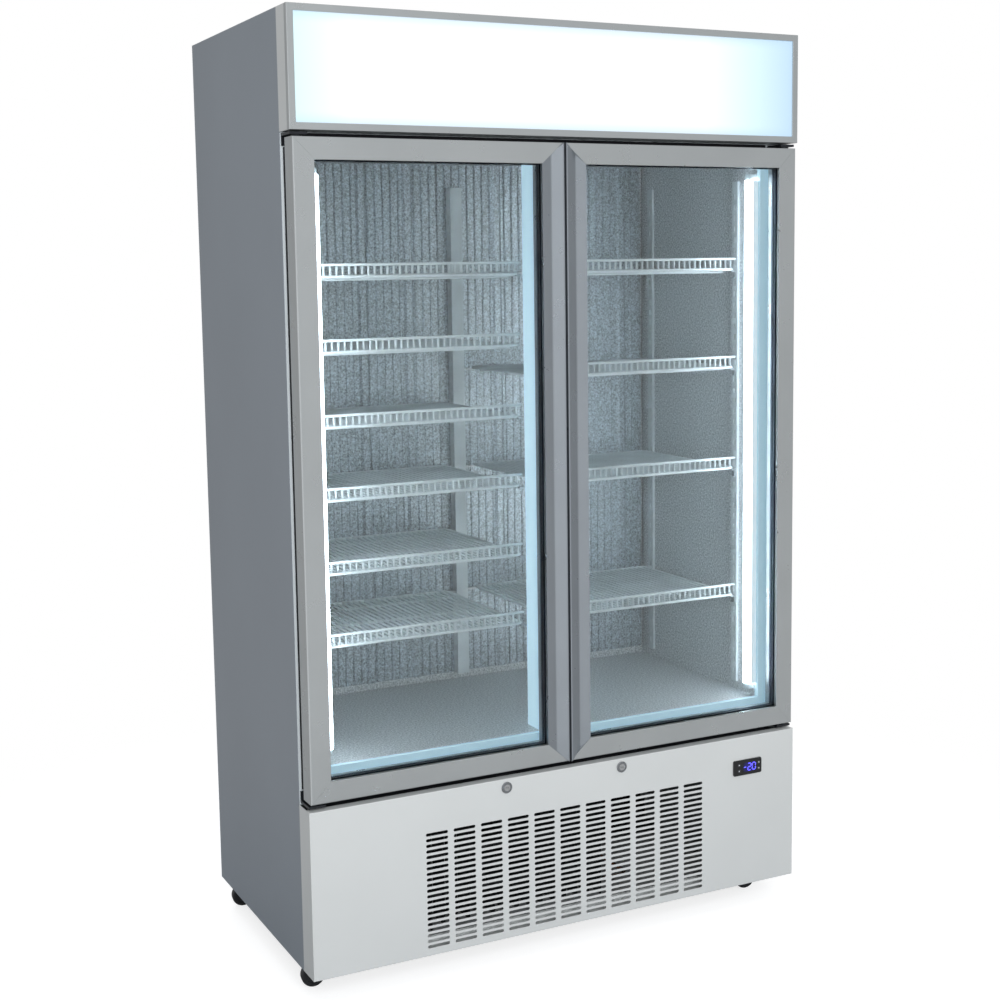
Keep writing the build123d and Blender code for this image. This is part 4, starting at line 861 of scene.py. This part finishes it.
class FREEZER_OT_inside(bpy.types.Operator):
    """Liner, rear sheets with their beads, frame round the openings, lamps and shelf strips"""
    bl_idname = "freezer.inside"
    bl_label = "Inside"

    def execute(self, context):
        colours = context.scene.freezer_finish
        dress(stucco_sheet("embossed_stucco_aluminium", colours.liner, 0.25), "inner_liner")
        rear = stucco_sheet("mill_stucco_aluminium", colours.rear, 0.6)
        dress(rear, "back_duct_panel", "evaporator_cover")
        self.beads(rear)
        dress(lamp_lit_vinyl(), "opening_trim", "centre_mullion")
        dress(white_vinyl("plain_white_vinyl", tint("DDE2E4")), "lamp_clips")
        cover = lamp_cover("frosted_lamp_cover", "interior_lamps", colours.lamp_strength)
        dress(cover, "interior_lamps")
        dress(moulded("white_strip_coat", tint("E2E6E7"), 0.4, 4.0), "shelf_pilasters")
        dress(shared(zinc_plate, "cloudy_zinc_plate"), "shelf_clips")
        return {"FINISHED"}

    def beads(self, material):
        """Narrow upright beads rolled into the rear sheet, between its wide ribs."""
        low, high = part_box("back_duct_panel")
        count = int((high[0] - low[0]) / BEAD_PITCH) - 1
        start = (-(count - 1) / 2 * BEAD_PITCH, low[1] + RIB_HEIGHT + BEAD_SINK, low[2] + BEAD_END)
        bead = rod(start, (0, 0, high[2] - low[2] - 2 * BEAD_END), BEAD_DIAMETER)
        row = in_a_row(bead, BEAD_PITCH, count)
        finished(joined("rear_beads", [row]), material, "stucco_aluminium", "cabinet")


class FREEZER_OT_shelves(bpy.types.Operator):
    """Wire shelves of both bays"""
    bl_idname = "freezer.shelves"
    bl_label = "Shelves"

    def execute(self, context):
        shelving = context.scene.freezer_shelving
        coat = moulded("coated_wire", context.scene.freezer_finish.wire, 0.35, 2.0, 0.01)
        for side, levels in (("left", LEFT_LEVELS), ("right", RIGHT_LEVELS)):
            low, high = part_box(f"shelves_{side}")
            first = wire_shelf(low[0], high[0], low[1], high[1], levels[0], shelving)
            shelves = [first] + [copied(first, (0, 0, z - levels[0])) for z in levels[1:]]
            for number, shelf in enumerate(shelves, 1):
                shelf.name = f"wire_shelf_{side}_{number}"
                shelf.data.name = shelf.name
                finished(shelf, coat, "coated_wire_white", "cabinet", f"shelves_{side}")
        return {"FINISHED"}


class FREEZER_OT_front_panel(bpy.types.Operator):
    """Lower panel with its slots, and the two locks"""
    bl_idname = "freezer.front_panel"
    bl_label = "Lower panel"

    def execute(self, context):
        colours = context.scene.freezer_finish
        dress(shared(silver_lacquer, "silver_lacquer", colours.panel), "grille_panel")
        # The lock chrome is darker than polished chrome: a painted dark reflection
        dress(bright_plate("polished_chrome", tint("8E9296"), 0.12), "lock_housings")
        nickel = bright_plate("dull_nickel", tint("C2C4C6"), 0.3)
        dress(nickel, "lock_plug_left", "lock_plug_right")
        return {"FINISHED"}


class FREEZER_OT_controller(bpy.types.Operator):
    """Controller with its lit figures and key marks"""
    bl_idname = "freezer.controller"
    bl_label = "Controller"

    def execute(self, context):
        sizes = context.scene.freezer_display
        dress(moulded("black_abs", tint("121315"), 0.4, 0.9), "controller_case")
        dress(smoked_window(), "controller_screen")
        keys = [f"controller_key_{number}" for number in range(1, 5)]
        dress(moulded("grey_key_rubber", tint("3B3E43"), 0.55, 1.0), *keys)
        self.figures(sizes, lit_figures(context.scene.freezer_finish.figures))
        self.marks(sizes, keys)
        return {"FINISHED"}

    def figures(self, sizes, material):
        """Minus sign and two figures, built from one bar."""
        low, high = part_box("controller_screen")
        middle = middle_of(low, high)
        reach = sizes.figure_height / 4 * BAR_SHARE
        bar = self.flat_shape(BAR_SIDES, reach, sizes.bar, sizes.relief)
        pieces = []
        for place, figure in ((-1, MINUS), (0, TWO), (1, ZERO)):
            for name in figure:
                across, up, flat = BARS[name]
                x = middle[0] + place * sizes.figure_pitch + across * sizes.figure_width / 2
                z = middle[2] + up * sizes.figure_height / 2
                turn = (0, math.pi / 2, 0) if flat else (0, 0, 0)
                pieces.append(copied(bar, (x, low[1], z), turn))
        drop(bar)
        finished(joined("display_figures", pieces), material, "display_window", "cabinet")

    def marks(self, sizes, keys):
        """Small raised arrow on each key, up on the upper keys and down on the lower ones."""
        arrow = self.flat_shape(ARROW_SIDES, ARROW_REACH, ARROW_WIDTH, sizes.relief)
        white = moulded("white_key_print", tint("D9DDE2"), 0.5)
        for number, key in enumerate(keys):
            low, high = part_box(key)
            x, _, z = middle_of(low, high)
            turn = (0, 0, 0) if number % 2 == 0 else (0, math.pi, 0)
            mark = joined(f"key_mark_{number + 1}", [copied(arrow, (x, low[1], z), turn)])
            finished(mark, white, "grey_plastic", f"key_{number + 1}")
        drop(arrow)

    def flat_shape(self, sides, reach, width, thickness):
        """Flat upright shape with a corner on top, facing the front, its back on the XZ plane."""
        shape = disc(sides, reach, turn=FRONTWARD)
        shape.scale = (width / shape.dimensions.x, 1, 1)
        return extruded(settle(shape), (0, -thickness, 0))


class FREEZER_OT_machine(bpy.types.Operator):
    """Cooling machinery above the inside and on the base"""
    bl_idname = "freezer.machine"
    bl_label = "Machinery"

    def execute(self, context):
        dress(mill_fins(), "evaporator_coil")
        dress(moulded("black_coil_lacquer", tint("1D1F22"), 0.5, 3.0), "condenser_coil")
        fans = ("evaporator_fan_left", "evaporator_fan_right", "condenser_fan")
        dress(moulded("black_fan_plastic", tint("1B1C1E"), 0.4), *fans)
        dress(moulded("motor_lacquer", tint("2C2E31"), 0.4, 2.0), "fan_motors")
        dress(moulded("compressor_black_enamel", tint("141416"), 0.25, 5.0), "compressor")
        dress(drawn_copper(), "refrigerant_pipes")
        dress(moulded("tray_plastic", tint("222426"), 0.5), "condensate_tray")
        return {"FINISHED"}


class FREEZER_OT_casters(bpy.types.Operator):
    """Swivel casters"""
    bl_idname = "freezer.casters"
    bl_label = "Casters"

    def execute(self, context):
        steel = shared(black_plate, "black_passivated_steel")
        nylon = moulded("black_nylon", tint("202124"), 0.5, 1.5)
        for place in ("front_left", "front_right", "rear_left", "rear_right"):
            dress(steel, f"caster_fork_{place}")
            dress(nylon, f"caster_wheel_{place}")
        return {"FINISHED"}


class FREEZER_OT_stage(bpy.types.Operator):
    """Pale floor, soft light, white surroundings and camera"""
    bl_idname = "freezer.stage"
    bl_label = "Stage"

    def execute(self, context):
        stage = context.scene.freezer_stage
        self.floor(stage)
        self.surroundings(context, stage)
        for name, (place, aim, width) in LIGHTS.items():
            self.light(f"{name}_light", place, aim, width, getattr(stage, name))
        self.camera(context, stage)
        context.scene.view_settings.view_transform = "Standard"
        return {"FINISHED"}

    def floor(self, stage):
        """Pale floor, white to the camera but for the shadow, that fades at a distance."""
        begin()
        bpy.ops.mesh.primitive_plane_add(size=stage.floor)
        floor = bpy.context.object
        floor.name = "floor"
        material = finish("pale_floor", tint("A8AAAC"), 0.9)
        tree, shader, place = parts_of(material)
        path = node(tree, "ShaderNodeLightPath").outputs
        seen = maths(tree, "MULTIPLY", path["Is Camera Ray"], FLOOR_GLOW)
        shader.inputs["Emission Color"].default_value = (1, 1, 1, 1)
        tree.links.new(seen, shader.inputs["Emission Strength"])
        away = node(tree, "ShaderNodeVectorMath", {0: place}, operation="LENGTH")
        fade = ramp(tree, away.outputs["Value"], *FLOOR_FADE, first=1.0, last=0.0,
                    interpolation_type="SMOOTHSTEP")
        tree.links.new(fade, shader.inputs["Alpha"])
        floor.data.materials.append(material)

    def surroundings(self, context, stage):
        """White to the camera and through glass, dimmer as a light.

        In reflections it is greyer at the right and behind.
        """
        world = bpy.data.worlds.new("soft_room")
        world.use_nodes = True
        tree = world.node_tree
        backdrop = tree.nodes["Background"]
        path = node(tree, "ShaderNodeLightPath").outputs
        seen = maths(tree, "MAXIMUM", path["Is Camera Ray"], path["Is Transmission Ray"])
        plain = ramp(tree, seen, 0.0, 1.0, first=stage.room, last=1.0)
        axes = axes_of(tree, node(tree, "ShaderNodeTexCoord").outputs["Generated"])
        right = ramp(tree, axes["X"], -0.2, 1.0, first=1.0, last=0.4)
        behind = ramp(tree, axes["Y"], 0.3, 0.9, first=1.0, last=0.45)
        shade = maths(tree, "MULTIPLY", right, behind)
        mirrored = maths(tree, "SUBTRACT", path["Is Glossy Ray"], seen, use_clamp=True)
        strength = node(tree, "ShaderNodeMix", {"Factor": mirrored, "A": plain, "B": shade})
        backdrop.inputs["Color"].default_value = (1, 1, 1, 1)
        tree.links.new(strength.outputs["Result"], backdrop.inputs["Strength"])
        context.scene.world = world

    def light(self, name, place, aim, width, watts):
        """Large square soft light aimed at a point."""
        begin()
        towards = [b - a for a, b in zip(place, aim)]
        flat = math.hypot(towards[0], towards[1])
        turn = (math.atan2(flat, -towards[2]), 0, math.atan2(towards[1], towards[0]) - math.pi / 2)
        bpy.ops.object.light_add(type="AREA", location=place, rotation=turn)
        lamp = bpy.context.object
        lamp.name = name
        lamp.data.energy = watts
        lamp.data.size = width
        lamp.visible_glossy = False
        lamp.visible_transmission = False

    def camera(self, context, stage):
        """Camera at the eye level and angle of the photograph, tilted a little downwards."""
        begin()
        turn = [math.radians(angle) for angle in CAMERA_TURN]
        bpy.ops.object.camera_add(location=CAMERA_PLACE, rotation=turn)
        camera = bpy.context.object
        camera.name = "camera"
        camera.data.lens = stage.lens
        camera.data.sensor_width = CAMERA_FILM
        camera.data.shift_y = CAMERA_SHIFT
        context.scene.camera = camera


class FREEZER_PT_panel(bpy.types.Panel):
    """Buttons and settings in the sidebar"""
    bl_idname = "FREEZER_PT_panel"
    bl_label = "Glass Door Freezer"
    bl_space_type = "VIEW_3D"
    bl_region_type = "UI"
    bl_category = "Freezer"

    def draw(self, context):
        for operator in OPERATORS:
            self.layout.operator(operator.bl_idname)
        for name, group in GROUPS.items():
            box = self.layout.box()
            for setting in group.__annotations__:
                box.prop(getattr(context.scene, name), setting)


OPERATORS = (
    FREEZER_OT_cabinet, FREEZER_OT_light_box, FREEZER_OT_doors, FREEZER_OT_inside,
    FREEZER_OT_shelves, FREEZER_OT_front_panel, FREEZER_OT_controller, FREEZER_OT_machine,
    FREEZER_OT_casters, FREEZER_OT_stage,
)
GROUPS = {
    "freezer_finish": FreezerFinish, "freezer_shelving": FreezerShelving,
    "freezer_display": FreezerDisplay, "freezer_stage": FreezerStage,
}


def register():
    for group in GROUPS.values():
        bpy.utils.register_class(group)
    for operator in OPERATORS:
        bpy.utils.register_class(operator)
    bpy.utils.register_class(FREEZER_PT_panel)
    for name, group in GROUPS.items():
        setattr(bpy.types.Scene, name, PointerProperty(type=group))


def unregister():
    for name in GROUPS:
        delattr(bpy.types.Scene, name)
    bpy.utils.unregister_class(FREEZER_PT_panel)
    for operator in reversed(OPERATORS):
        bpy.utils.unregister_class(operator)
    for group in reversed(tuple(GROUPS.values())):
        bpy.utils.unregister_class(group)


def main():
    register()
    bpy.ops.freezer.cabinet()
    bpy.ops.freezer.light_box()
    bpy.ops.freezer.doors()
    bpy.ops.freezer.inside()
    bpy.ops.freezer.shelves()
    bpy.ops.freezer.front_panel()
    bpy.ops.freezer.controller()
    bpy.ops.freezer.machine()
    bpy.ops.freezer.casters()
    bpy.ops.freezer.stage()


if __name__ == "__main__":
    main()
